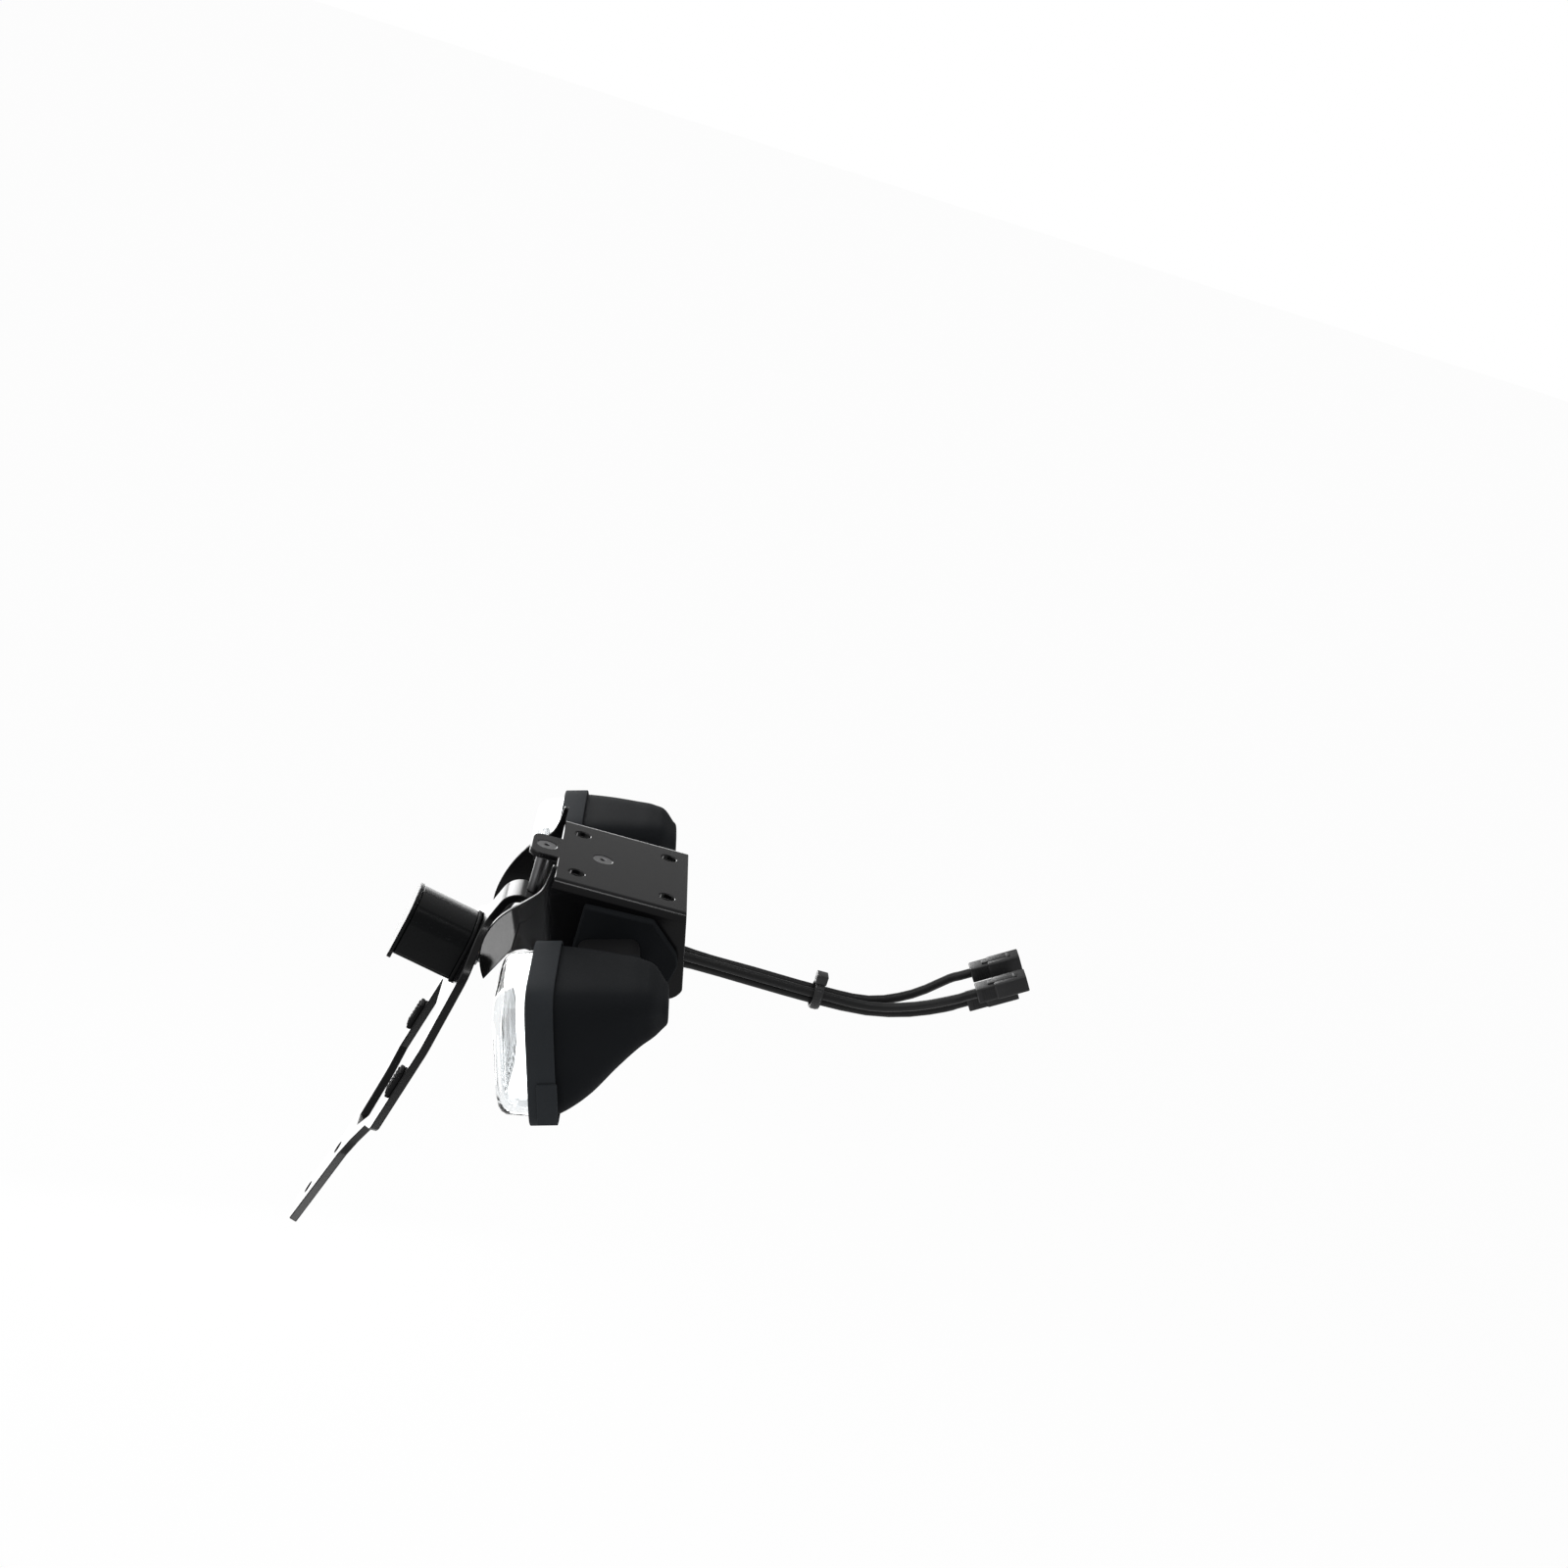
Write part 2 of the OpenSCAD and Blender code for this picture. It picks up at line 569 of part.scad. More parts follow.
// room inside the body at the reflector's flange
function inside_at(k, size) = size * (1 + (body_form[1][k] - 1) * (reflector_y + reflector_t)
    / (body_form[1][0] * (ind_depth - ind_wall * 1.8))) - ind_wall - fit_gap;
module ind_reflector() {
    color("Silver") at_indicator() difference() {
        union() {
            along(reflector_y, reflector_y + reflector_t) polygon(softbox(inside_at(1, ind_half_w),
                inside_at(2, ind_up), inside_at(3, ind_down), body_form[1][4], 48));
            rotate([-90, 0, 0]) rotate_extrude()
                polygon(concat(bowl, rev([for (p = bowl) p + [bowl_wall * 0.6, bowl_wall]])));
        }
        translate([0, -1, 0]) rotate([-90, 0, 0])
            cylinder(h = reflector_y + reflector_t + 1.2, r = bowl_r - bowl_wall);
    }
}
bowl = [for (k = [0:10]) let (r = bowl_r - (bowl_r - lamp_r - lamp_room) * k / 10)
    [r, reflector_y + bowl_wall + bowl_deep * (1 - pow(r / bowl_r, 2))]];
module ind_lamp() {
    y0 = bowl[10][1];
    color("Orange") at_indicator() rotate([-90, 0, 0]) union() {
        translate([0, 0, y0 - 1]) cylinder(h = lamp_len, r = lamp_r);
        translate([0, 0, y0 + lamp_room]) cylinder(h = collar_t, r = collar_r);
        rotate_extrude($fn = 36) polygon(concat([[0, y0 - 0.9]],
            [for (k = [0:8]) let (a = -10 - 80 * (1 - k / 8)) [bulb_r * cos(a), y0 - bulb_r * (1 - sin(a))]], [[bulb_r * 0.87, y0 - 0.9]]));
    }
}
function stem_line(g) = let (w = stem_w / 2 + g, h = stem_h / 2 + g, r = 4)
    concat(arc([w - r, h - r], r, 0, 90, 4), arc([-w + r, h - r], r, 90, 180, 4),
        arc([-w + r, -h + r], r, 180, 270, 4), arc([w - r, -h + r], r, 270, 360, 4));
stem_from = half_w + shoulder_t;
stem_to = ind_x - boss_from;
clamp_x = half_w - bracket_t;
module ind_stem() {
    color("Black") difference() {
        union() {
            translate([stem_from, stem_yz[0], stem_yz[1]]) rotate([ind_tilt, 0, 0]) rotate([90, 0, 90])
                linear_extrude(stem_to - stem_from) polygon(stem_line(0));
            translate([clamp_x - clamp_h - 1.5, stem_yz[0], stem_yz[1]]) rotate([0, 90, 0])
                cylinder(h = stem_from - clamp_x + clamp_h + 2.5, r = stud_r);
        }
        translate([0, stem_yz[0], stem_yz[1]]) rotate([0, 90, 0]) cylinder(h = 100, r = stem_bore);
    }
}
module ind_shoulder() {
    color("Black") difference() {
        across(half_w, half_w + shoulder_t) polygon(shoulder_line);
        translate([0, stem_yz[0], stem_yz[1]]) rotate([0, 90, 0]) cylinder(h = 60, r = flange_bore);
    }
}
module ind_nut() {
    color("Silver") translate([clamp_x - clamp_h, stem_yz[0], stem_yz[1]]) rotate([0, 90, 0]) difference() {
        union() {
            cylinder(h = clamp_h, r = stud_r + 4.2, $fn = 6);
            translate([0, 0, clamp_h - clamp_flange]) cylinder(h = clamp_flange, r = stud_r + 5.5);
        }
        translate([0, 0, -1]) cylinder(h = clamp_h + 2, r = stud_r + 0.05);
    }
}
module right_shoulder() { ind_shoulder(); }
module right_stem() { ind_stem(); }
module right_nut() { ind_nut(); }
module right_body() { ind_body(); }
module right_bezel() { ind_bezel(); }
module right_lens() { ind_lens(); }
module right_reflector() { ind_reflector(); }
module right_lamp() { ind_lamp(); }
module left_shoulder() { mirrored() ind_shoulder(); }
module left_stem() { mirrored() ind_stem(); }
module left_nut() { mirrored() ind_nut(); }
module left_body() { mirrored() ind_body(); }
module left_bezel() { mirrored() ind_bezel(); }
module left_lens() { mirrored() ind_lens(); }
module left_reflector() { mirrored() ind_reflector(); }
module left_lamp() { mirrored() ind_lamp(); }

// Leads
tip = [0, cos(end_rise), sin(end_rise)];
// the run that all three share, with each lead beside the bundle's middle
function run(dx, dz) = [for (k = [0:5])
    [dx * spread[k][0], run_y[k], -bundle_drop + dz * spread[k][1] + rise[k]]];
function ended(l) = let (e = l[len(l) - 1]) concat(l, [e + 5 * tip, e + 10 * tip]);
side_pts = ended(concat([[stem_to + 4, stem_yz[0], stem_yz[1]], [half_w, stem_yz[0], stem_yz[1]]],
    [for (p = turn_in) [p[0], stem_yz[0] + p[1], stem_yz[1] + p[2]]], run(bundle_r, lead_r * 0.6)));
function light_pt(y, z) = let (p = plate_path[light_i], a = 90 - light_tilt,
    q = p[0] + light_along * [cos(p[1]), sin(p[1])])
    [0, q[0] + y * cos(a) - z * sin(a), q[1] + y * sin(a) + z * cos(a)];
centre_pts = ended(concat([for (z = [3.8, -1, -6, -9]) light_pt(0, z)], light_way, run(0, -lead_r * 1.3)));
module light_lead() { color("Black") tube(spline(centre_pts, 2), lead_r, 10); }
module right_lead() { color("Black") tube(spline(side_pts, 2), lead_r, 10); }
module left_lead() { color("Black") mirrored() tube(spline(side_pts, 2), lead_r, 10); }
module plug_on(p) {
    e = p[len(p) - 1];
    translate(e) rotate([end_rise, 0, 0]) translate([-connector[0] / 2, 0, -connector[2] / 2]) cube(connector);
}
module connectors() {
    color("Gray") {
        plug_on(centre_pts);
        plug_on(side_pts);
        mirrored() plug_on(side_pts);
    }
}
module cable_tie() {
    r = bundle_r + lead_r * 1.5;
    color("Black") translate([0, tie_y + tie_w / 2, -bundle_drop - 1]) rotate([90, 0, 0]) difference() {
        union() {
            cylinder(h = tie_w, r = r + tie_t);
            translate([-3, r, -0.6]) cube([6, 4.6, tie_w + 1.2]);
        }
        translate([0, 0, -1]) cylinder(h = tie_w + 2, r = r);
    }
}

main_bracket();
plate_bracket();
plate_pads();
neck_spacers();
neck_bolts();
neck_nuts();
light_gasket();
light_housing();
light_rim();
light_lens();
light_board();
light_studs();
light_nuts();
light_grommet();
right_shoulder();
right_stem();
right_nut();
right_body();
right_bezel();
right_lens();
right_reflector();
right_lamp();
left_shoulder();
left_stem();
left_nut();
left_body();
left_bezel();
left_lens();
left_reflector();
left_lamp();
light_lead();
right_lead();
left_lead();
connectors();
cable_tie();
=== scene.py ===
# %% [markdown]
# # Dressing a tail tidy
# A tail tidy is a short bracket that carries a number plate, the plate's light and two turn indicators.
# The CAD model holds every shape and size. Here Blender adds the finish: softened sheet edges, moulded
# lamps, rubber, threads and the run of the leads.

# %% Load the frame
import json
import math

import bmesh
import bpy
import numpy as np
from mathutils import Matrix, Vector


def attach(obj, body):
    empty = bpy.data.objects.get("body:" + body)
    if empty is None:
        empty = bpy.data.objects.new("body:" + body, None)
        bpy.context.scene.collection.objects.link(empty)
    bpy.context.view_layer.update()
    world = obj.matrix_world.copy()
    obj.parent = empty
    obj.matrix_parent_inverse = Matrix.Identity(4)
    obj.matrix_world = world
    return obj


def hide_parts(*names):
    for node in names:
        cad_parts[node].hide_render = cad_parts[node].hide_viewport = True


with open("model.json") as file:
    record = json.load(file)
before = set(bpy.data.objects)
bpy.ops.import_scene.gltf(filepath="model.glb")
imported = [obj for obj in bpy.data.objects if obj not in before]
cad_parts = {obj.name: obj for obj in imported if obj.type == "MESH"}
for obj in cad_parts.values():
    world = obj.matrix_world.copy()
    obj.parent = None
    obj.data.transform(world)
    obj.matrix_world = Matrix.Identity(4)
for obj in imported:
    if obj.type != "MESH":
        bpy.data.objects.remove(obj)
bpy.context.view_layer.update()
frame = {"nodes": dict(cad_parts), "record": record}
nodes = frame["nodes"]
scene = bpy.context.scene
MM = 0.001

# %% [markdown]
# ## The camera
# The photograph looks at the bracket from its right, a little from behind and from above, and the
# bracket slopes down towards its front. The camera is aimed so that one known point, the top of the
# right flange, falls on its own pixel. The rest of the picture then follows from the angle, the
# distance and the lens, as it does when a real camera is set up.

# %% Place the camera
PICTURE, SENSOR = 1600.0, 36.0
camera_azimuth, camera_elevation, camera_roll = 86.0, 22.0, 16.7
camera_distance = 0.83
camera_lens = 47.25
flange_top = Vector((0.036, 0.0, 0.0))
flange_top_pixel = (633.0, 916.0)


def camera_axes(azimuth, elevation, roll):
    """The camera's right, up and back as columns, from three angles in degrees."""
    a, e, r = (math.radians(v) for v in (azimuth, elevation, roll))
    back = Vector((math.sin(a) * math.cos(e), -math.cos(a) * math.cos(e), math.sin(e)))
    right = Vector((math.cos(a), math.sin(a), 0.0))
    up = back.cross(right)
    rolled_right = right * math.cos(r) + up * math.sin(r)
    rolled_up = up * math.cos(r) - right * math.sin(r)
    return Matrix((rolled_right, rolled_up, back)).transposed()


def set_camera():
    axes = camera_axes(camera_azimuth, camera_elevation, camera_roll)
    focal = camera_lens / SENSOR * PICTURE
    across, down = (pixel - PICTURE / 2 for pixel in flange_top_pixel)
    ray = Vector((across / focal, -down / focal, -1.0))
    turn = ray.rotation_difference(Vector((0.0, 0.0, -1.0))).to_matrix()
    data = bpy.data.cameras.new("camera")
    data.lens, data.sensor_width, data.clip_end = camera_lens, SENSOR, 50.0
    camera = bpy.data.objects.new("camera", data)
    scene.collection.objects.link(camera)
    place = flange_top + Vector(axes.col[2]) * camera_distance
    camera.matrix_world = Matrix.Translation(place) @ (axes @ turn).to_4x4()
    scene.camera = camera
    return camera


camera = set_camera()
print("camera at", [round(v, 3) for v in camera.location])

# %% [markdown]
# ## The stage
# Black paint shows mostly what it mirrors, so what stands round the part matters as much as the light
# on it. The room is even and dim. Only behind the part does gloss see a white wall, which gives the
# neck and the plate their pale reflections. Small soft lamps do the rest, each named for its place or
# for what it lights, and hidden from the camera. The picture itself shows floor and room plain white.


# %% Floor, room and lamps
floor_z, floor_reach, floor_grey = -0.62, 40.0, (0.85, 0.85, 0.85)
floor_seen, floor_in_gloss = 0.965, 0.1
room_level, wall_from, wall_full = 0.4, -0.22, -0.45


def link(data, name):
    obj = bpy.data.objects.new(name, data)
    scene.collection.objects.link(obj)
    return obj


def white_share(n, l, camera_share, gloss):
    """How far a ray sees plain white: the camera's by a share, glass fully, gloss by a number or socket."""
    rays, total = n.new("ShaderNodeLightPath"), None
    shares = (("Is Camera Ray", camera_share), ("Is Transmission Ray", 1.0), ("Is Glossy Ray", gloss))
    for output, share in shares:
        step = n.new("ShaderNodeMath")
        step.operation, step.use_clamp = "MULTIPLY_ADD", True
        l.new(rays.outputs[output], step.inputs[0])
        if isinstance(share, float):
            step.inputs[1].default_value = share
        else:
            l.new(share, step.inputs[1])
        step.inputs[2].default_value = 0.0
        if total:
            l.new(total, step.inputs[2])
        total = step.outputs[0]
    return total


def plain_stage(name, colour):
    """A floor that takes light and shadow, and is plain white where the picture or glass shows it."""
    m = bpy.data.materials.new(name)
    m.use_nodes = True
    n, l = m.node_tree.nodes, m.node_tree.links
    n.clear()
    out = n.new("ShaderNodeOutputMaterial")
    plain, white, pick = (n.new("ShaderNode" + kind) for kind in ("BsdfDiffuse", "Emission", "MixShader"))
    plain.inputs["Color"].default_value = (*colour, 1)
    white.inputs["Strength"].default_value = 1.0
    l.new(white_share(n, l, floor_seen, floor_in_gloss), pick.inputs["Fac"])
    l.new(plain.outputs[0], pick.inputs[1])
    l.new(white.outputs[0], pick.inputs[2])
    l.new(pick.outputs[0], out.inputs["Surface"])
    return m


def studio_world():
    """An even room, white in the picture. Gloss sees a white wall behind the part, dim ones elsewhere."""
    world = bpy.data.worlds.new("world")
    world.use_nodes = True
    n, l = world.node_tree.nodes, world.node_tree.links
    room, white, pick = n["Background"], n.new("ShaderNodeBackground"), n.new("ShaderNodeMixShader")
    for lit, level in ((room, room_level), (white, 1.0)):
        lit.inputs["Color"].default_value, lit.inputs["Strength"].default_value = (1, 1, 1, 1), level
    where, parts, wall = (n.new("ShaderNode" + kind) for kind in ("TexCoord", "SeparateXYZ", "MapRange"))
    for key, value in (("From Min", wall_full), ("From Max", wall_from), ("To Min", 1.0), ("To Max", 0.0)):
        wall.inputs[key].default_value = value
    l.new(where.outputs["Generated"], parts.inputs[0])
    l.new(parts.outputs["Y"], wall.inputs["Value"])
    l.new(white_share(n, l, 1.0, wall.outputs["Result"]), pick.inputs["Fac"])
    l.new(room.outputs[0], pick.inputs[1])
    l.new(white.outputs[0], pick.inputs[2])
    l.new(pick.outputs[0], n["World Output"].inputs["Surface"])
    return world


def make_floor():
    mesh = bpy.data.meshes.new("floor")
    corners = [(x * floor_reach, y * floor_reach, floor_z) for x, y in ((-1, -1), (1, -1), (1, 1), (-1, 1))]
    mesh.from_pydata(corners, [], [(0, 1, 2, 3)])
    mesh.materials.append(plain_stage("floor_paint", floor_grey))
    return link(mesh, "floor")


def soft_lamp(name, place, aim, size, level):
    """A square soft lamp of a given radiance, which the camera doesn't see."""
    data = bpy.data.lights.new(name, "AREA")
    data.shape, data.size = "SQUARE", size
    data.energy = level * math.pi * size * size
    obj = link(data, name)
    obj.location = place
    obj.rotation_euler = (Vector(aim) - Vector(place)).to_track_quat("-Z", "Y").to_euler()
    obj.visible_camera = False
    return obj


part_middle = (0.0, 0.0, -0.07)
lamps = [("key_lamp", (0.35, -0.75, 1.25), part_middle, 0.8, 1.5),
         ("front_lamp", (0.7, 1.2, 0.6), part_middle, 0.6, 1.6),
         ("high_back_lamp", (-1.0, -0.31, 0.165), (0.0, -0.03, -0.02), 0.4, 7.0),
         ("far_lamp", (-1.1, 0.02, -0.03), (0.0, -0.07, -0.04), 0.3, 2.6),
         ("overhead_lamp", (0.14, 0.05, 1.15), (0.04, 0.0, 0.0), 0.22, 8.0),
         ("low_back_lamp", (-0.74, -0.24, -0.32), (0.0, -0.06, -0.1), 0.5, 2.6),
         ("wing_lamp", (0.42, -0.52, -0.55), (0.032, -0.042, -0.036), 0.12, 15.0),
         ("tongue_lamp", (0.6, -0.12, -0.56), (0.01, -0.09, -0.17), 0.15, 6.0),
         ("low_front_lamp", (-0.05, 1.1, -0.42), part_middle, 0.35, 8.0)]
scene.world = studio_world()
make_floor()
for lamp in lamps:
    soft_lamp(*lamp)
scene.view_settings.view_transform = "Standard"
print("stage: floor at", floor_z, "and", len(lamps), "lamps")

# %% [markdown]
# ## Finishes
# Every finish starts from one shader with its plain values on its own sockets, and gets its life from
# fine noise on the piece's own coordinates: the orange peel of powder coat, the grain of moulded
# plastic, the drawn lines of turned steel.


# %% Finish maker
cloud_scale, cloud_detail, grain_detail = 28.0, 4.0, 3.0
darkest, lightest = 0.82, 1.18


def finish(name, colour, rough, grain, scale, spread, metal=0.0, specular=0.5, **plain):
    """A principled finish. grain is the bump's height in metres and scale its noise scale, spread the play
    in roughness, and plain any other socket's value, with _ for a space."""
    m = bpy.data.materials.new(name)
    m.use_nodes = True
    n, l = m.node_tree.nodes, m.node_tree.links
    p = n["Principled BSDF"]
    p.inputs["Metallic"].default_value = metal
    p.inputs["Specular IOR Level"].default_value = specular
    for key, value in plain.items():
        p.inputs[key.replace("_", " ")].default_value = value
    where = n.new("ShaderNodeTexCoord")
    broad, fine = n.new("ShaderNodeTexNoise"), n.new("ShaderNodeTexNoise")
    for noise, size, detail in ((broad, cloud_scale, cloud_detail), (fine, scale, grain_detail)):
        noise.inputs["Scale"].default_value, noise.inputs["Detail"].default_value = size, detail
        l.new(where.outputs["Object"], noise.inputs["Vector"])
    tone = n.new("ShaderNodeMapRange")
    tone.inputs["To Min"].default_value, tone.inputs["To Max"].default_value = darkest, lightest
    l.new(broad.outputs["Fac"], tone.inputs["Value"])
    tint = n.new("ShaderNodeVectorMath")
    tint.operation = "SCALE"
    tint.inputs[0].default_value = colour
    l.new(tone.outputs["Result"], tint.inputs["Scale"])
    l.new(tint.outputs["Vector"], p.inputs["Base Color"])
    gloss = n.new("ShaderNodeMapRange")
    gloss.inputs["To Min"].default_value = max(rough * (1 - spread), 0.01)
    gloss.inputs["To Max"].default_value = min(rough * (1 + spread), 1.0)
    l.new(fine.outputs["Fac"], gloss.inputs["Value"])
    l.new(gloss.outputs["Result"], p.inputs["Roughness"])
    if grain:
        bump = n.new("ShaderNodeBump")
        bump.inputs["Distance"].default_value = grain
        l.new(fine.outputs["Fac"], bump.inputs["Height"])
        l.new(bump.outputs["Normal"], p.inputs["Normal"])
    return m


# %% The finishes of this object
powder_coat = finish("powder_coat", (0.005, 0.005, 0.0055), 0.2, 0.00001, 1100, 0.2, specular=0.26)
moulded_black = finish("moulded_black", (0.01, 0.0112, 0.0128), 0.75, 0.00001, 1500, 0.12, specular=0.07)
gloss_black = finish("gloss_black", (0.004, 0.0045, 0.005), 0.28, 0.000004, 1500, 0.08, specular=0.12)
bezel_black = finish("bezel_black", (0.03, 0.0335, 0.0375), 0.8, 0.00001, 1500, 0.12, specular=0.1)
soft_rubber = finish("soft_rubber", (0.008, 0.008, 0.0085), 0.65, 0.00002, 900, 0.1, specular=0.12)
clear_plastic = finish("clear_plastic", (0.95, 0.97, 0.98), 0.05, 0.0, 600, 0.2,
                       Transmission_Weight=1.0, IOR=1.49)
bright_bowl = finish("bright_bowl", (0.86, 0.87, 0.88), 0.14, 0.00002, 500, 0.2, metal=1.0)
amber_glass = finish("amber_glass", (0.95, 0.36, 0.03), 0.10, 0.0, 300, 0.2, Transmission_Weight=0.35)
zinc_steel = finish("zinc_steel", (0.2, 0.2, 0.205), 0.3, 0.00002, 1200, 0.2, metal=1.0)
green_board = finish("green_board", (0.012, 0.11, 0.045), 0.30, 0.00001, 900, 0.1)
lead_sheath = finish("lead_sheath", (0.008, 0.008, 0.0085), 0.42, 0.00002, 1500, 0.1, specular=0.3)
connector_nylon = finish("connector_nylon", (0.020, 0.020, 0.021), 0.38, 0.00002, 800, 0.1, specular=0.35)
tie_black = finish("tie_black", (0.018, 0.018, 0.019), 0.36, 0.00002, 900, 0.1)

slot_finish = {"frame_black": powder_coat, "housing_black": moulded_black, "bezel_black": bezel_black,
               "rubber_black": soft_rubber, "clear_lens": clear_plastic, "reflector": bright_bowl,
               "amber_lamp": amber_glass, "fastener": zinc_steel, "board_green": green_board,
               "lead_sheath": lead_sheath, "connector_body": connector_nylon, "tie_black": tie_black}
node_slot = {s["node"]: s["material_slot"] for s in frame["record"]["subparts"]}
for name, obj in nodes.items():
    for s in obj.material_slots:
        s.material = slot_finish[node_slot[name]]
print("finishes:", len(slot_finish))


# %% [markdown]
# ## Keeping the books
# Each finished piece rides on the bracket's one body, takes its finish from a slot of the record, and
# hides the CAD solid that it stands for. One helper does all of it, so no piece can be forgotten.


# %% Book-keeping and mesh helpers
triangles = {}


def keep(obj, slot, *stands_for, paint=None):
    """Give a finished piece its finish and its body, and hide the CAD nodes that it stands for."""
    obj.data.materials.clear()
    obj.data.materials.append(paint or slot_finish[slot])
    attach(obj, "root")
    if stands_for:
        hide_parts(*stands_for)
    if obj.type == "MESH":
        triangles[obj.name] = sum(len(p.vertices) - 2 for p in obj.data.polygons)
    return obj


def smooth(mesh, angle):
    """Round shading, with edges kept where the surface turns by more than the angle."""
    mesh.shade_smooth()
    mesh.set_sharp_from_angle(angle=math.radians(angle))


def from_bmesh(name, bm, angle):
    """A mesh in the making as a finished object, merged, facing outwards and smoothly shaded."""
    bmesh.ops.remove_doubles(bm, verts=bm.verts, dist=1e-7)
    bmesh.ops.recalc_face_normals(bm, faces=bm.faces)
    mesh = bpy.data.meshes.new(name)
    bm.to_mesh(mesh)
    bm.free()
    smooth(mesh, angle)
    return link(mesh, name)


def applied(obj):
    """Turn an object's modifiers into plain mesh."""
    graph = bpy.context.evaluated_depsgraph_get()
    mesh = bpy.data.meshes.new_from_object(obj.evaluated_get(graph), depsgraph=graph)
    obj.modifiers.clear()
    obj.data = mesh
    return obj


def in_metres(p):
    return np.asarray(p) * MM


def tilted(x, y, z, place, angle):
    """Turn a point or points about x by an angle, then carry them to a place in y and z."""
    c, s = math.cos(angle), math.sin(angle)
    return np.stack([np.asarray(x, float), place[0] + y * c - z * s, place[1] + y * s + z * c], -1)


# %% [markdown]
# Most shells here are stacks of rings: a cross-section, moved and scaled a little at each step, with
# faces between neighbours. One helper joins such rings, another adds a block with soft edges.


# %% Ring and block helpers
def turned_ring(y, radius, count=72):
    """A round ring at y, about the y axis."""
    a = np.linspace(0, 2 * np.pi, count, endpoint=False)
    return np.stack([radius * np.cos(a), np.full(count, float(y)), radius * np.sin(a)], 1)


def cuboid_ring(y, half_x, half_z, square=8.0, count=48):
    """A square ring with small round corners at y. More square means sharper corners."""
    a = np.linspace(0, 2 * np.pi, count, endpoint=False)
    c, s = np.cos(a), np.sin(a)
    return np.stack([half_x * np.sign(c) * np.abs(c) ** (2 / square), np.full(count, float(y)),
                     half_z * np.sign(s) * np.abs(s) ** (2 / square)], 1)


def ring_skin(bm, rings, place, loop=False):
    """Join rings into a skin. loop joins the last ring to the first, otherwise both ends get a cap."""
    rows = [[bm.verts.new(v) for v in place(r)] for r in rings]
    pairs = list(zip(rows, rows[1:])) + ([(rows[-1], rows[0])] if loop else [])
    for a, b in pairs:
        n = len(a)
        for i in range(n):
            j = (i + 1) % n
            bm.faces.new((a[i], a[j], b[j], b[i]))
    if not loop:
        for row, ring in ((rows[0], rings[0]), (rows[-1], rings[-1])):
            hub = bm.verts.new(place(np.mean(ring, axis=0, keepdims=True))[0])
            for i in range(len(row)):
                bm.faces.new((row[i], row[(i + 1) % len(row)], hub))
    return bm


def rounded_block(bm, centre, size, place, soft):
    """A block with softened edges, added to a mesh in the making."""
    part = bmesh.new()
    bmesh.ops.create_cube(part, size=1.0)
    for v in part.verts:
        v.co = Vector([v.co[i] * size[i] for i in range(3)])
    bmesh.ops.bevel(part, geom=part.edges[:], offset=soft, segments=3, profile=0.5, affect="EDGES")
    made = [bm.verts.new(place(np.array([centre[i] + v.co[i] for i in range(3)]))) for v in part.verts]
    part.verts.index_update()
    for f in part.faces:
        bm.faces.new([made[v.index] for v in f.verts])
    part.free()


print("helpers ready: rings, skins, blocks")

# %% [markdown]
# ## The three leads
# Each lamp has its own sheathed lead. The two side leads leave through the hollow studs that clamp the
# indicators, the middle one comes up from the plate light, and all three run forward in one bundle
# under the bracket, through a cable tie, to the connectors on their ends. The run repeats the CAD's
# own points, in millimetres, with a smooth line through them.

# %% Points of the plate bracket and of the leads, in millimetres as in the CAD
half_w, sheet_t, neck_drop, plate_t = 36.0, 2.5, 21.5, 3.5
light_tilt, light_along, pad_along = 12.0, 8.8, 26.0


def walk(steps, place, heading):
    """The corners of a bent sheet's face, from (straight, turn, radius) steps."""
    out, p, h = [], np.array(place, float), heading
    for straight, turn, radius in steps:
        out.append((p.copy(), h))
        p = p + straight * np.array([math.cos(math.radians(h)), math.sin(math.radians(h))])
        if turn:
            s = math.copysign(1, turn)
            a, b = math.radians(h), math.radians(h + turn)
            p = p + s * radius * np.array([-math.sin(a) + math.sin(b), math.cos(a) - math.cos(b)])
            h += turn
    return out + [(p, h)]


plate_bends = [(35, 68, 9), (12.5, 10, 30), (43, -3.5, 40), (42.5, -4, 40), (68.5, 0, 0)]
plate_corners = walk(plate_bends, (-2, -neck_drop), 180)


def on_facet(corner, along):
    """A point a way down one of the plate bracket's facets, and the facet's heading in degrees."""
    start, heading = plate_corners[corner]
    h = math.radians(heading)
    return start + along * np.array([math.cos(h), math.sin(h)]), heading


def light_point(x, y, z):
    """From the plate light's axes, z out of the plate and y up it, to the shared frame in millimetres."""
    return tilted(x, y, z, on_facet(2, light_along)[0], math.radians(90 - light_tilt))


lead_r, bundle_drop, tie_y, lead_end_y = 2.0, 33.0, 95.0, 150.0
bundle_r, end_rise = lead_r * 1.2, math.radians(33)
ind_place, ind_tilt, ind_half, stem_at = (89.0, -18.6, -40.0), math.radians(17), 30.5, (24.6, 9.2)
stem_to, stem_y, stem_z = tilted(ind_place[0] - ind_half, *stem_at, ind_place[1:], ind_tilt)
# Along the bundle: y, how far the leads spread sideways and up or down, and how far the bundle rises.
bundle_way = [(40, 1, 1, 0), (66, 1, 1, -0.5), (tie_y, 1, 1, -1), (118, 1.3, 1, 0), (136, 2.6, 1.6, 6),
              (lead_end_y, 4.4, 2.4, 14.5)]
light_way = [(1.5, -37, -50), (6, -30, -41), (8, -20, -34), (7.4, -4, -33.5), (3, 20, -35.5)]


def shared_run(dx, dz):
    """One lead's way through the bundle, dx beside the bundle's middle and dz above it."""
    return [(dx * aside, y, -bundle_drop + dz * above + rise) for y, aside, above, rise in bundle_way]


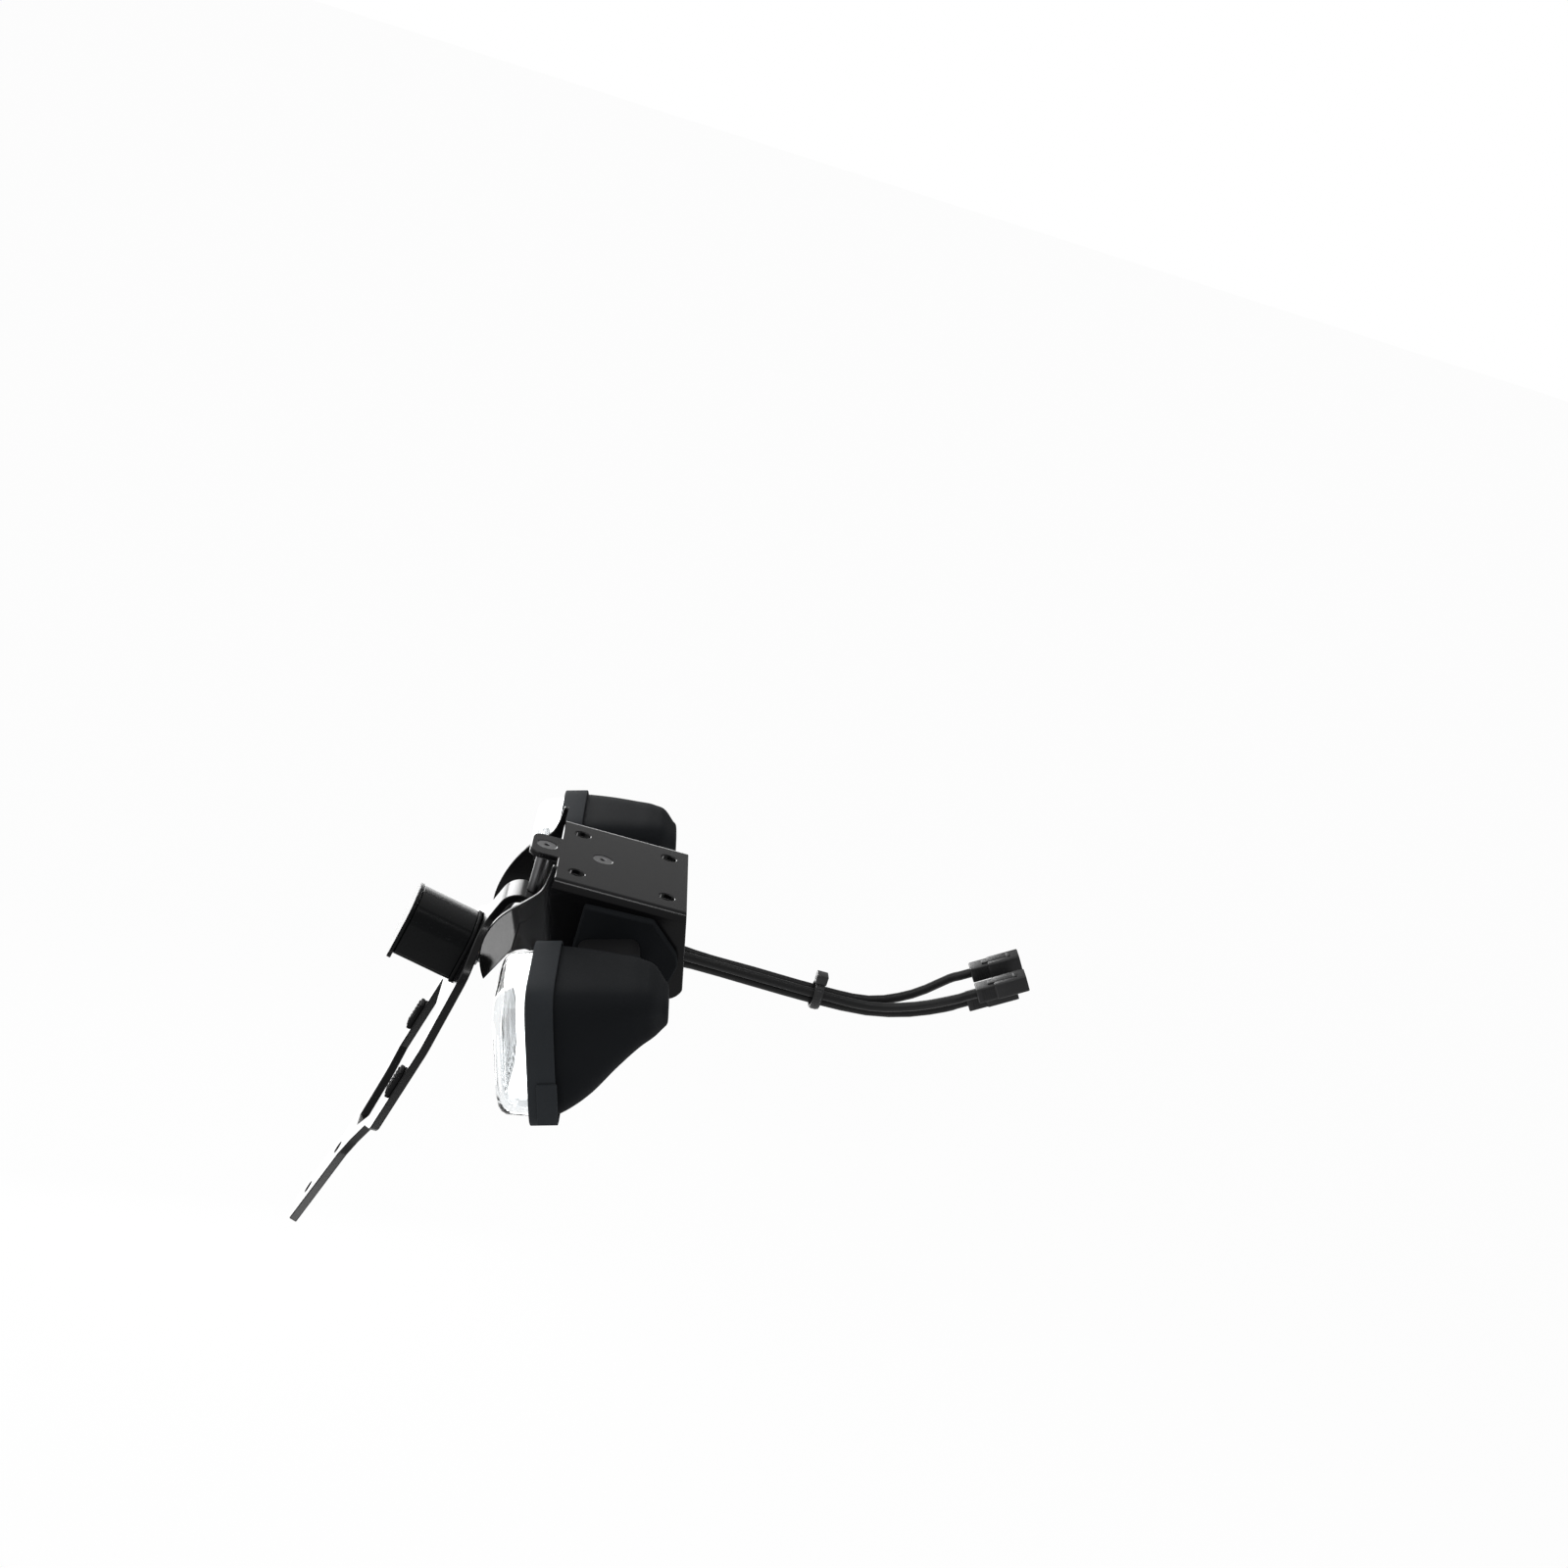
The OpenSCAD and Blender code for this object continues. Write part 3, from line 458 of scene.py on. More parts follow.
def with_end(points):
    """Two more points straight on, which go into the connector."""
    end, tip = np.array(points[-1], float), np.array([0, math.cos(end_rise), math.sin(end_rise)])
    return [np.array(p, float) for p in points] + [end + 5 * tip, end + 10 * tip]


stem_way = [(stem_to + 4, 0, 0), (half_w, 0, 0), (21, 0, 0), (12.5, 3, -1.4), (6, 14, -6)]
side_points = with_end([(x, stem_y + y, stem_z + z) for x, y, z in stem_way]
                       + shared_run(bundle_r, lead_r * 0.6))
light_points = with_end([tuple(light_point(0, 0, z)) for z in (3.8, -1, -6, -9)] + light_way
                        + shared_run(0, -lead_r * 1.3))


def through(points, steps):
    """A Catmull-Rom line through points."""
    p, out = [np.array(q, float) for q in points], []
    for i in range(len(p) - 1):
        a, b, c, d = p[max(i - 1, 0)], p[i], p[i + 1], p[min(i + 2, len(p) - 1)]
        for k in range(steps):
            t = k / steps
            out.append(0.5 * (2 * b + (c - a) * t + (2 * a - 5 * b + 4 * c - d) * t ** 2
                              + (3 * b - a - 3 * c + d) * t ** 3))
    return np.array(out + [p[-1]])


print("stem at", (round(stem_y, 2), round(stem_z, 2)), "light at", np.round(light_point(0, 0, 0), 2))


# %% Draw the leads
def draw_lead(name, points, side, steps):
    """A lead as a round curve through its points, with its line and length in metres."""
    line = through(points, steps) * MM
    line[:, 0] *= side
    curve = bpy.data.curves.new(name, "CURVE")
    curve.dimensions, curve.bevel_depth, curve.bevel_resolution = "3D", lead_r * MM, 5
    curve.use_fill_caps = True
    spline = curve.splines.new("POLY")
    spline.points.add(len(line) - 1)
    for point, co in zip(spline.points, line):
        point.co = (*co, 1.0)
    spline.use_smooth = True
    length = float(np.linalg.norm(np.diff(line, axis=0), axis=1).sum())
    return keep(link(curve, name), "lead_sheath", name.replace("_run", "")), line, length


lead_runs = {"right": (side_points, 1, 3), "left": (side_points, -1, 3), "light": (light_points, 1, 2)}
leads = {word: draw_lead(word + "_lead_run", *run) for word, run in lead_runs.items()}
for word, (obj, line, length) in leads.items():
    print(word, "lead:", round(length, 4), "m,", len(line), "points")

# %% [markdown]
# A connector is a small moulded shell with a latch on top, grip ribs on its flanks and a rubber seal
# where the lead goes in. Its mouth is open, with two blades inside. The ribs repeat, so a Geometry
# Nodes tree lays a line of points and puts one small block on each.


# %% Rib tree
def group(name, *inputs):
    """A Geometry Nodes tree with named inputs, as (name, socket type) pairs."""
    tree = bpy.data.node_groups.new(name, "GeometryNodeTree")
    for label, kind in inputs:
        tree.interface.new_socket(label, in_out="INPUT", socket_type=kind)
    tree.interface.new_socket("Geometry", in_out="OUTPUT", socket_type="NodeSocketGeometry")
    return tree, tree.nodes.new("NodeGroupInput"), tree.nodes.new("NodeGroupOutput")


def from_tree(name, tree, **values):
    """Run a tree on an empty mesh with its inputs set by identifier, and keep the plain result."""
    obj = link(bpy.data.meshes.new(name), name)
    mod = obj.modifiers.new("tree", "NODES")
    mod.node_group = tree
    ids = {i.name: i.identifier for i in tree.interface.items_tree if i.in_out == "INPUT"}
    for key, value in values.items():
        mod[ids[key.replace("_", " ")]] = value
    return applied(obj)


def finished(tree, source, sink, paint_with):
    """End a tree with Realize Instances and Set Material."""
    real, paint = tree.nodes.new("GeometryNodeRealizeInstances"), tree.nodes.new("GeometryNodeSetMaterial")
    paint.inputs["Material"].default_value = paint_with
    tree.links.new(source, real.inputs[0])
    tree.links.new(real.outputs[0], paint.inputs[0])
    tree.links.new(paint.outputs[0], sink.inputs[0])


def rib_tree():
    """Count blocks of Size, one every Step along y, centred on the origin."""
    tree, source, sink = group("ribs", ("Count", "NodeSocketInt"), ("Step", "NodeSocketFloat"),
                               ("Size", "NodeSocketVector"))
    count, step, size = (source.outputs[name] for name in ("Count", "Step", "Size"))
    row, block, put = (tree.nodes.new("GeometryNode" + kind)
                       for kind in ("MeshLine", "MeshCube", "InstanceOnPoints"))
    offset, start = (tree.nodes.new("ShaderNodeCombineXYZ") for _ in range(2))
    gaps, half, reach = (tree.nodes.new("ShaderNodeMath") for _ in range(3))
    gaps.operation, half.operation, reach.operation = "SUBTRACT", "MULTIPLY", "MULTIPLY"
    gaps.inputs[0].default_value = 1.0
    half.inputs[1].default_value = 0.5
    for out, into in ((count, gaps.inputs[1]), (gaps.outputs[0], half.inputs[0]),
                      (half.outputs[0], reach.inputs[0]), (step, reach.inputs[1]),
                      (reach.outputs[0], start.inputs["Y"]), (step, offset.inputs["Y"]),
                      (count, row.inputs["Count"]), (start.outputs[0], row.inputs["Start Location"]),
                      (offset.outputs[0], row.inputs["Offset"]), (size, block.inputs["Size"]),
                      (row.outputs["Mesh"], put.inputs["Points"]),
                      (block.outputs["Mesh"], put.inputs["Instance"])):
        tree.links.new(out, into)
    finished(tree, put.outputs["Instances"], sink, connector_nylon)
    return tree


ribs = rib_tree()
print("rib tree:", len(ribs.nodes), "nodes")


# %% Connectors and cable tie
def joined(parts, angle=35):
    """Several plain objects as one mesh, under the first one's name."""
    bm = bmesh.new()
    for p in parts:
        bm.from_mesh(p.data)
    name = parts[0].name
    for p in parts:
        bpy.data.objects.remove(p)
    return from_bmesh(name, bm, angle)


plug_wide, plug_high, plug_skin, blade_x = 9.0, 8.0, 0.15, 1.7
# The shell's cross-sections: place along it, then how much narrower and lower than the whole it is.
plug_shell = [(7.9, 0.6, 0.55), (8.2, 0.3, 0.3), (8.6, 0.15, 0.15), (21.5, 0.15, 0.15), (21.8, 0.25, 0.25),
              (21.9, 0.4, 0.4), (21.9, 1.0, 1.0), (21.7, 1.1, 1.1), (16.5, 1.1, 1.1)]
plug_seal = [(0.0, 2.05), (0.0, 2.7), (0.3, 2.95), (0.9, 2.95), (1.1, 2.6), (1.4, 2.95), (2.2, 2.95)]
grip = dict(Count=7, Step=0.95 * MM, Size=(0.5 * MM, 0.45 * MM, 4.6 * MM))


def make_plug(name, points, side):
    """A connector that starts at the end of a run and rises with it."""
    end = np.array(points[-1]) * (side, 1, 1)
    turn = Matrix.Translation(Vector(end) * MM) @ Matrix.Rotation(end_rise, 4, "X")
    top = plug_high / 2
    bm = bmesh.new()
    rounded_block(bm, (0, 6.0, 0), (plug_wide - 1.4, 12, plug_high - 1.4), in_metres, 0.5)
    ring_skin(bm, [cuboid_ring(y, plug_wide / 2 - cut_x, top - plug_skin - cut_z)
                   for y, cut_x, cut_z in plug_shell], in_metres)
    for x in (-blade_x, blade_x):
        rounded_block(bm, (x, 18.6, 0), (0.7, 4.6, 1.9), in_metres, 0.15)
    rounded_block(bm, (0, 12.0, top - 0.55), (3.2, 13, 0.8), in_metres, 0.25)
    rounded_block(bm, (0, 17.4, top - 0.3), (3.8, 1.6, 0.5), in_metres, 0.15)
    ring_skin(bm, [turned_ring(y, r, 32) for y, r in plug_seal], in_metres)
    parts = [from_bmesh(name, bm, 30)]
    for flank in (-1, 1):
        comb = from_tree(name + "_comb", ribs, **grip)
        comb.data.transform(Matrix.Translation((flank * (plug_wide / 2 - 0.6) * MM, 5.0 * MM, 0)))
        parts.append(comb)
    plug = joined(parts, 30)
    plug.data.transform(turn)
    return keep(plug, "connector_body", "connectors")


tie_wide, tie_thick, tie_teeth, tooth_high, tie_steps = 4.0, 1.1, 32, 0.16, 96


def make_tie():
    """A toothed strap round the bundle, drawn tight through its head, with the tail cut short."""
    r_in, half = bundle_r + lead_r * 1.5, tie_wide / 2
    r_out = r_in + tie_thick
    centre = np.array([0, tie_y, -bundle_drop - 1])
    bm = bmesh.new()
    rings = []
    for a in np.linspace(0, 2 * np.pi, tie_steps, endpoint=False):
        tooth = tooth_high * (0.5 + 0.5 * math.cos(a * tie_teeth))
        section = [(-half, r_in + 0.15), (-half + 0.2, r_in + 0.02), (half - 0.2, r_in + 0.02),
                   (half, r_in + 0.15), (half, r_out - 0.35), (half - 0.6, r_out - 0.3),
                   (half - 0.75, r_out - 0.2 + tooth), (-half + 0.75, r_out - 0.2 + tooth),
                   (-half + 0.6, r_out - 0.3), (-half, r_out - 0.35)]
        rings.append(np.array([(r * math.sin(a), y, r * math.cos(a)) for y, r in section]))
    place = lambda p: in_metres(p + centre)
    ring_skin(bm, rings, place, loop=True)
    rounded_block(bm, (0, 0, r_in + 2.35), (5.8, 5.0, 4.3), place, 0.5)
    rounded_block(bm, (0, 0, r_in + 2.35), (2.4, 5.3, 1.4), place, 0.2)
    return keep(from_bmesh("cable_tie_finished", bm, 30), "tie_black", "cable_tie")


tie = make_tie()
plugs = {word: make_plug(word + "_plug", points, side) for word, (points, side, _) in lead_runs.items()}
print("declared", len(leads), "leads with their connectors and their tie")

# %% [markdown]
# ## Sheet metal and mouldings from the CAD
# A bent sheet or a moulding has no truly sharp edge: the press and the paint round it by a few tenths
# of a millimetre, and that thin line is what catches the light. The CAD solids have the right faces
# but knife edges, and a CAD object itself may not be changed. A copy can: its loose triangles are
# merged, flat faces are joined again, and a Bevel modifier rounds each edge that turns sharply.


# %% Softened copies
same_point, flat_turn, edge_turn = 4e-6, math.radians(0.6), math.radians(28.0)


def softened(node, width, paint=None):
    """A copy of a CAD node with its edges rounded, to stand for the node."""
    bm = bmesh.new()
    bm.from_mesh(nodes[node].data)
    bmesh.ops.remove_doubles(bm, verts=bm.verts, dist=same_point)
    bmesh.ops.dissolve_limit(bm, angle_limit=flat_turn, verts=bm.verts, edges=bm.edges)
    obj = from_bmesh(node + "_finished", bm, 50)
    edge = obj.modifiers.new("soft_edge", "BEVEL")
    edge.width, edge.segments = width * MM, 2
    edge.limit_method, edge.angle_limit = "ANGLE", edge_turn
    edge.use_clamp_overlap = False
    even = obj.modifiers.new("even_shading", "WEIGHTED_NORMAL")
    even.weight, even.keep_sharp = 100, True
    applied(obj)
    return keep(obj, node_slot[node], node, paint=paint)


edge_widths = {"main_bracket": 0.45, "plate_bracket": 0.4, "light_gasket": 0.4,
               "light_housing": 0.5, "light_rim": 0.35, "light_lens": 0.3, "right_shoulder": 0.8,
               "left_shoulder": 0.8, "right_stem": 0.6, "left_stem": 0.6, "light_nuts": 0.2, "right_nut": 0.5,
               "left_nut": 0.5, "neck_nuts": 0.25}
glossy = ("light_housing", "light_rim")
for node, width in edge_widths.items():
    softened(node, width, gloss_black if node in glossy else None)
print("softened copies:", len(edge_widths), "triangles:", sum(triangles.values()))

# %% [markdown]
# ## Turn indicators
# An indicator is a black tub that tapers towards the front, a bezel round its rim, and a clear lens
# clipped into it. Every cross-section is a rounded box, a superellipse, so each shell is a stack
# of such rings. The rings follow the same shares of depth, width and height as the CAD, only finer,
# with a smooth line through them. Mirroring the right one gives the left.

# %% Indicator sizes, in millimetres as in the CAD
ind_up, ind_down, ind_depth = 26.5, 27.0, 49.5
lens_out, body_wall, lens_wall = 15.0, 2.2, 1.8
# Each row: share of the depth, then of the half width, height up and height down, and how square it is.
body_form = np.array([[0, 1, 1, 1, 6],
                      [0.2, 0.97, 0.98, 0.88, 5.8],
                      [0.42, 0.915, 0.95, 0.63, 5.2],
                      [0.64, 0.815, 0.9, 0.25, 4.8],
                      [0.82, 0.715, 0.85, -0.02, 4.4],
                      [0.93, 0.615, 0.77, -0.13, 3.9],
                      [1, 0.465, 0.61, -0.2, 3.2]])
ROUND = 120
EVEN = np.linspace(0, 2 * np.pi, ROUND, endpoint=False)


def on_curve(table, share):
    """A smooth line through a table's rows, at a share of its first column."""
    x = table[:, 0]
    i = int(np.clip(np.searchsorted(x, share, side="right") - 1, 0, len(x) - 2))
    t = (share - x[i]) / (x[i + 1] - x[i])
    slope = np.gradient(table, x, axis=0)
    h = x[i + 1] - x[i]
    return ((2 * t ** 3 - 3 * t ** 2 + 1) * table[i] + (t ** 3 - 2 * t ** 2 + t) * h * slope[i]
            + (3 * t ** 2 - 2 * t ** 3) * table[i + 1] + (t ** 3 - t ** 2) * h * slope[i + 1])


def box_ring(y, half, up, down, square, scale=1.0, angles=EVEN):
    """One rounded-box ring in the indicator's axes: x across, y to the front, z up."""
    c, s = np.cos(angles), np.sin(angles)
    x = half * np.sign(c) * np.abs(c) ** (2 / square)
    z = (up + down) / 2 * np.sign(s) * np.abs(s) ** (2 / square)
    return np.stack([x * scale, np.full(len(angles), float(y)), (up - down) / 2 + z * scale], 1)


def indicator_point(p, side):
    """From the indicator's axes in millimetres to the shared frame in metres."""
    out = tilted(ind_place[0] + p[..., 0], p[..., 1], p[..., 2], ind_place[1:], ind_tilt) * MM
    out[..., 0] *= side
    return out


def both_sides(**makers):
    """Make each part for the right indicator, then mirrored for the left one."""
    for side, word in ((1, "right"), (-1, "left")):
        for part, make in makers.items():
            made = make(word + "_" + part, lambda p: indicator_point(p, side))
            print(made.name, triangles[made.name], "triangles")


print("rings of", ROUND, "points; body", ind_depth, "mm deep")


# %% Tub of the indicator
def body_ring(share, inset, depth):
    """The tub's cross-section at a share of its depth, inset by a wall."""
    _, half, up, down, square = on_curve(body_form, share)
    return box_ring(share * depth, half * ind_half - inset, up * ind_up - inset, down * ind_down - inset,
                    square)


stem_half, stem_high, boss_long, boss_wall, boss_soft = 12.5, 8.0, 14.0, 1.5, 2.6
front_roll, front_wall = 1.3, 4.0
# The front edge is rolled: how far each ring is behind the front, and how much smaller it is.
front_rings = ((0.0, 2.6), (0.15, 1.5), (0.6, 0.6))


def make_body(name, place):
    bm = bmesh.new()
    shares = np.linspace(0, 1, 44)
    _, half, up, down, square = body_form[-1]
    end = [box_ring(ind_depth - back, half * ind_half - cut, up * ind_up - cut, down * ind_down - cut, square)
           for back, cut in front_rings]
    outer = [body_ring(s, 0.0, ind_depth - front_roll) for s in shares[::-1]]
    inner = [body_ring(s, body_wall, ind_depth - front_wall) for s in shares]
    ring_skin(bm, end + outer + inner, place)
    rounded_block(bm, (-ind_half + boss_long / 2, stem_at[0], stem_at[1]),
                  (boss_long, 2 * (stem_half + boss_wall), 2 * (stem_high + boss_wall)), place, boss_soft)
    return keep(from_bmesh(name + "_finished", bm, 40), "housing_black", name)


both_sides(body=make_body)

# %% [markdown]
# The bezel is one profile carried round the rim: a band with a small lip that turns in over the lens.
# Its corners are rolled by a third of a millimetre. A stepped lug sits low on each flank, where the
# clip behind it grips the tub.

# %% Bezel
# How far each corner of the profile stands out from the rim, and how far forward it is.
bezel_profile = [(-1.4, -2.15), (-1.15, -2.4), (0.75, -2.4), (1.07, -2.27), (1.2, -1.95), (1.2, 7.55),
                 (1.1, 7.88), (0.85, 8.0), (0.35, 8.0), (0.2, 7.8), (0.2, -1.6), (-1.4, -1.6)]
lug_long, lug_high, lug_out, lug_low, lug_soft = 7.6, 16.8, 1.0, 0.86, 0.35


def make_bezel(name, place):
    bm = bmesh.new()
    rings = [box_ring(y, ind_half + g, ind_up + g, ind_down + g, 6) for g, y in bezel_profile]
    ring_skin(bm, rings, place, loop=True)
    for flank in (-1, 1):
        centre = (flank * (ind_half + 1 + lug_out / 2), 1 + lug_long / 2, -ind_down * lug_low + lug_high / 2)
        rounded_block(bm, centre, (lug_out, lug_long, lug_high), place, lug_soft)
    return keep(from_bmesh(name + "_finished", bm, 40), "bezel_black", name)


both_sides(bezel=make_bezel)

# %% [markdown]
# The lens is a closed shell of clear plastic, because glass shading needs a front and a back to bend
# light between. Its outside is smooth to shed dirt, and its inside carries upright flutes that spread
# the lamp's light sideways, cut here as a gentle wave in the inner face. Even angles crowd a rounded
# box's points into its corners, so the lens adds angles that fall on its straight sides, where the
# flutes need them.

# %% Lens
# From the rim out to the face: place along the lens, how much smaller than the rim, and how square.
lens_steps = [(-1.5, -1.7, 6), (-lens_out * 0.4, -2.0, 6), (-lens_out * 0.74, -2.4, 6),
              (-lens_out * 0.86, -3.1, 5.7), (-lens_out * 0.94, -4.1, 5.3), (-lens_out * 0.985, -5.5, 5.0),
              (-lens_out, -7, 4.8)]
lens_flange = [(-1.4, 0, 6), (-0.1, 0, 6), (-0.1, -3.5, 6)]
flute_pitch, flute_deep, flute_fade = 4.0, 0.8, 12


def side_angles(count, square=5.0):
    """Angles whose points lie evenly along a rounded box's sides."""
    t = (np.arange(count) + 0.5) * 2 * np.pi / count
    x, z = (np.sign(v) * np.abs(v) ** (square / 2) for v in (np.cos(t), np.sin(t)))
    return np.arctan2(z, x) % (2 * np.pi)


LENS = np.sort(np.concatenate([EVEN[::2], side_angles(200)]))


def lens_ring(y, grow, square, scale=1.0):
    return box_ring(y, ind_half + grow, ind_up + grow, ind_down + grow, square, scale, LENS)


def make_lens(name, place):
    _, face_cut, face_square = lens_steps[-1]
    face = [lens_ring(-lens_out, face_cut, face_square, s) for s in np.linspace(0.03, 0.97, 12)]
    outside = [lens_ring(*step) for step in lens_steps[::-1]]
    rim = [lens_ring(*step) for step in lens_flange]
    inside = [lens_ring(y + (lens_wall if y < -2 else 0.2), g - lens_wall, e) for y, g, e in lens_steps]
    back = []
    for s in np.linspace(0.99, 0.02, 60):
        ring = lens_ring(-lens_out + lens_wall, face_cut - lens_wall, face_square, s)
        wave = 0.5 - 0.5 * np.cos(2 * np.pi * ring[:, 0] / flute_pitch)
        ring[:, 1] += flute_deep * wave * min(1, (1 - s) * flute_fade)
        back.append(ring)
    bm = ring_skin(bmesh.new(), face + outside + rim + inside + back, place)
    return keep(from_bmesh(name + "_finished", bm, 50), "clear_lens", name)


both_sides(lens=make_lens)

# %% [markdown]
# Behind the lens a bright bowl throws the light back. A real one is a moulded paraboloid with a thin
# layer of aluminium. It is turned here from its own curve, with a wall, so that it is closed.

# %% Reflector and lamp
bowl_wide, bowl_narrow, bowl_front, bowl_deep = 18.5, 8.2, 3.0, 15.0
rim_front, rim_back, rim_gap = 2.1, 3.3, 0.25
rim_share = 3.4 / (0.2 * (ind_depth - body_wall * 1.8))


def bowl_y(radius):
    """How deep the bowl is at a radius: a paraboloid."""
    return bowl_front + bowl_deep * (1 - (radius / bowl_wide) ** 2)


def make_reflector(name, place):
    half, up, down = (size * (1 - less * rim_share) - body_wall - rim_gap
                      for size, less in ((ind_half, 0.03), (ind_up, 0.02), (ind_down, 0.12)))
    radii = np.linspace(bowl_wide, bowl_narrow, 26)
    inner = [turned_ring(bowl_y(r), r, ROUND) for r in radii]
    outer = [turned_ring(bowl_y(r) + 0.9, r + 0.55, ROUND) for r in radii[::-1]]
    flange = [box_ring(y, half + grow, up + grow, down + grow, 5.8)
              for y, grow in ((rim_back, 0), (3.15, 0.05), (rim_front, 0))]
    blend_in = [turned_ring(rim_front, bowl_wide + 0.9, ROUND), turned_ring(2.3, bowl_wide + 0.3, ROUND)]
    blend_out = [turned_ring(rim_back, bowl_wide + 1.6, ROUND)]
    bm = ring_skin(bmesh.new(), flange + blend_in + inner + outer + blend_out, place, loop=True)
    return keep(from_bmesh(name + "_finished", bm, 45), "reflector", name)


# The lamp's parts behind the glass, from the bowl's bottom back: place along, radius.
holder = [(-4.6, 6.1), (-2.2, 5.7), (-1.0, 5.5), (-0.8, 6.4), (-0.6, 6.7), (1.1, 6.9), (1.2, 9.1),
          (1.4, 9.3), (3.0, 9.3), (3.2, 9.1), (3.3, 6.9), (10.4, 6.9), (10.8, 6.5), (11, 6.0)]
glass_from, glass_long, glass_wide = -6.0, 6.4, 6.2


def make_lamp(name, place):
    """Amber bulb with the cap that it stands in and the holder's collar."""
    glass = [(glass_from + glass_long * math.sin(a), max(glass_wide * math.cos(a), 0.05))
             for a in np.radians(np.linspace(-88, -10, 16))]
    base = bowl_y(bowl_narrow)
    bm = ring_skin(bmesh.new(), [turned_ring(base + y, r) for y, r in glass + holder], place)
    return keep(from_bmesh(name + "_finished", bm, 35), "amber_lamp", name)


both_sides(reflector=make_reflector, lamp=make_lamp)

# %% [markdown]
# ## Screws with real threads
# A thread is a small profile carried along a helix. Geometry Nodes have a Spiral curve for that: its
# turns are the length over the pitch, and Curve to Mesh sweeps the profile along it. One tree serves
# every screw, with its radius, pitch and length as named inputs.


# %% Thread tree
def thread_tree():
    """A coil of Turns turns and Length height, swept with a small round profile of Depth radius."""
    tree, source, sink = group("thread", ("Radius", "NodeSocketFloat"), ("Length", "NodeSocketFloat"),
                               ("Turns", "NodeSocketFloat"), ("Depth", "NodeSocketFloat"))
    helix, profile, sweep = (tree.nodes.new("GeometryNode" + kind)
                             for kind in ("CurveSpiral", "CurvePrimitiveCircle", "CurveToMesh"))
    helix.inputs["Resolution"].default_value, profile.inputs["Resolution"].default_value = 20, 5
    sweep.inputs["Fill Caps"].default_value = True
    for name, into in (("Radius", helix.inputs["Start Radius"]), ("Radius", helix.inputs["End Radius"]),
                       ("Length", helix.inputs["Height"]), ("Turns", helix.inputs["Rotations"]),
                       ("Depth", profile.inputs["Radius"])):
        tree.links.new(source.outputs[name], into)
    tree.links.new(helix.outputs["Curve"], sweep.inputs["Curve"])
    tree.links.new(profile.outputs["Curve"], sweep.inputs["Profile Curve"])
    finished(tree, sweep.outputs["Mesh"], sink, zinc_steel)
    return tree


def make_coil(radius, length, pitch, depth):
    """One thread in millimetres, standing on the origin."""
    return from_tree("coil", threads, Radius=radius * MM, Length=length * MM, Turns=length / pitch,
                     Depth=depth * MM)


threads = thread_tree()
neck_thread, stud_thread = (1.76, 7.6, 0.7, 0.22), (1.33, 3.0, 0.5, 0.16)
print("tree inputs:", [i.name for i in threads.interface.items_tree if i.in_out == "INPUT"])

# %% [markdown]
# The two neck bolts are countersunk socket screws. Each is turned from one profile, gets its hexagon
# socket from a small recess, and takes a thread on the length below the neck's nut.

# %% Neck bolts
neck_bolt_y, neck_nut_h = (-33.0, -9.0), 3.2
bolt_end = -neck_drop - plate_t - neck_nut_h - 1.0
# From the head down, then up from the end: height, radius.
bolt_head = [(-0.16, 3.95), (-0.35, 4.05), (-0.5, 3.95), (-2.2, 2.1), (-2.6, 1.96)]
bolt_tip = [(8.2, 1.96), (8, 1.78), (0.4, 1.78), (0.02, 1.4)]
bolt_socket = [(-1.2, 1.3), (-0.3, 1.3), (-0.16, 1.45)]


def screw_ring(y, z, radius, count=48, sides=None):
    """A level ring about a neck bolt's axis, round or with a number of flat sides."""
    a = np.linspace(0, 2 * np.pi, count, endpoint=False)
    r = np.full(count, float(radius))
    if sides:
        half = np.pi / sides
        r = radius * np.cos(half) / np.cos((a % (2 * half)) - half)
    return np.stack([r * np.cos(a), y + r * np.sin(a), np.full(count, float(z))], 1)


def make_neck_bolts():
    bm = bmesh.new()
    for y in neck_bolt_y:
        steps = bolt_head + [(bolt_end + up, r) for up, r in bolt_tip]
        socket_rings = [screw_ring(y, z, r, sides=6) for z, r in bolt_socket]
        ring_skin(bm, socket_rings + [screw_ring(y, z, r) for z, r in steps], in_metres)
    parts = [from_bmesh("neck_bolts_finished", bm, 30)]
    for y in neck_bolt_y:
        coil = make_coil(*neck_thread)
        coil.data.transform(Matrix.Translation((0, y * MM, (bolt_end + 0.3) * MM)))
        parts.append(coil)
    return joined(parts)


keep(make_neck_bolts(), "fastener", "neck_bolts")
print("neck bolts:", triangles["neck_bolts_finished"], "triangles")

# %% [markdown]
# ## Small turned parts
# Spacers, studs and the grommet are round about one axis, so each is a profile turned about it. The
# spacers are cut tube with both ends chamfered. The grommet is rubber, so all of its corners are soft.
# The light's two studs get a thread on the length that sticks out behind the plate.


# %% Spacers, grommet and light studs
def upright(x, y, z, to_frame):
    """Turned rings run along y. This stands them along z at a point, then takes them to the shared frame."""
    return lambda p: to_frame(np.stack([x + p[..., 0], y - p[..., 2], z + p[..., 1]], -1))


def at_light(p):
    """The light's axes in millimetres to the shared frame in metres."""
    return light_point(p[..., 0], p[..., 1], p[..., 2]) * MM


def at_pads(p):
    """The pads' axes: x across, y up the plate's middle facet, z out of it."""
    place, heading = on_facet(3, pad_along)
    return tilted(p[..., 0], p[..., 1], p[..., 2], place, math.radians(heading - 180)) * MM


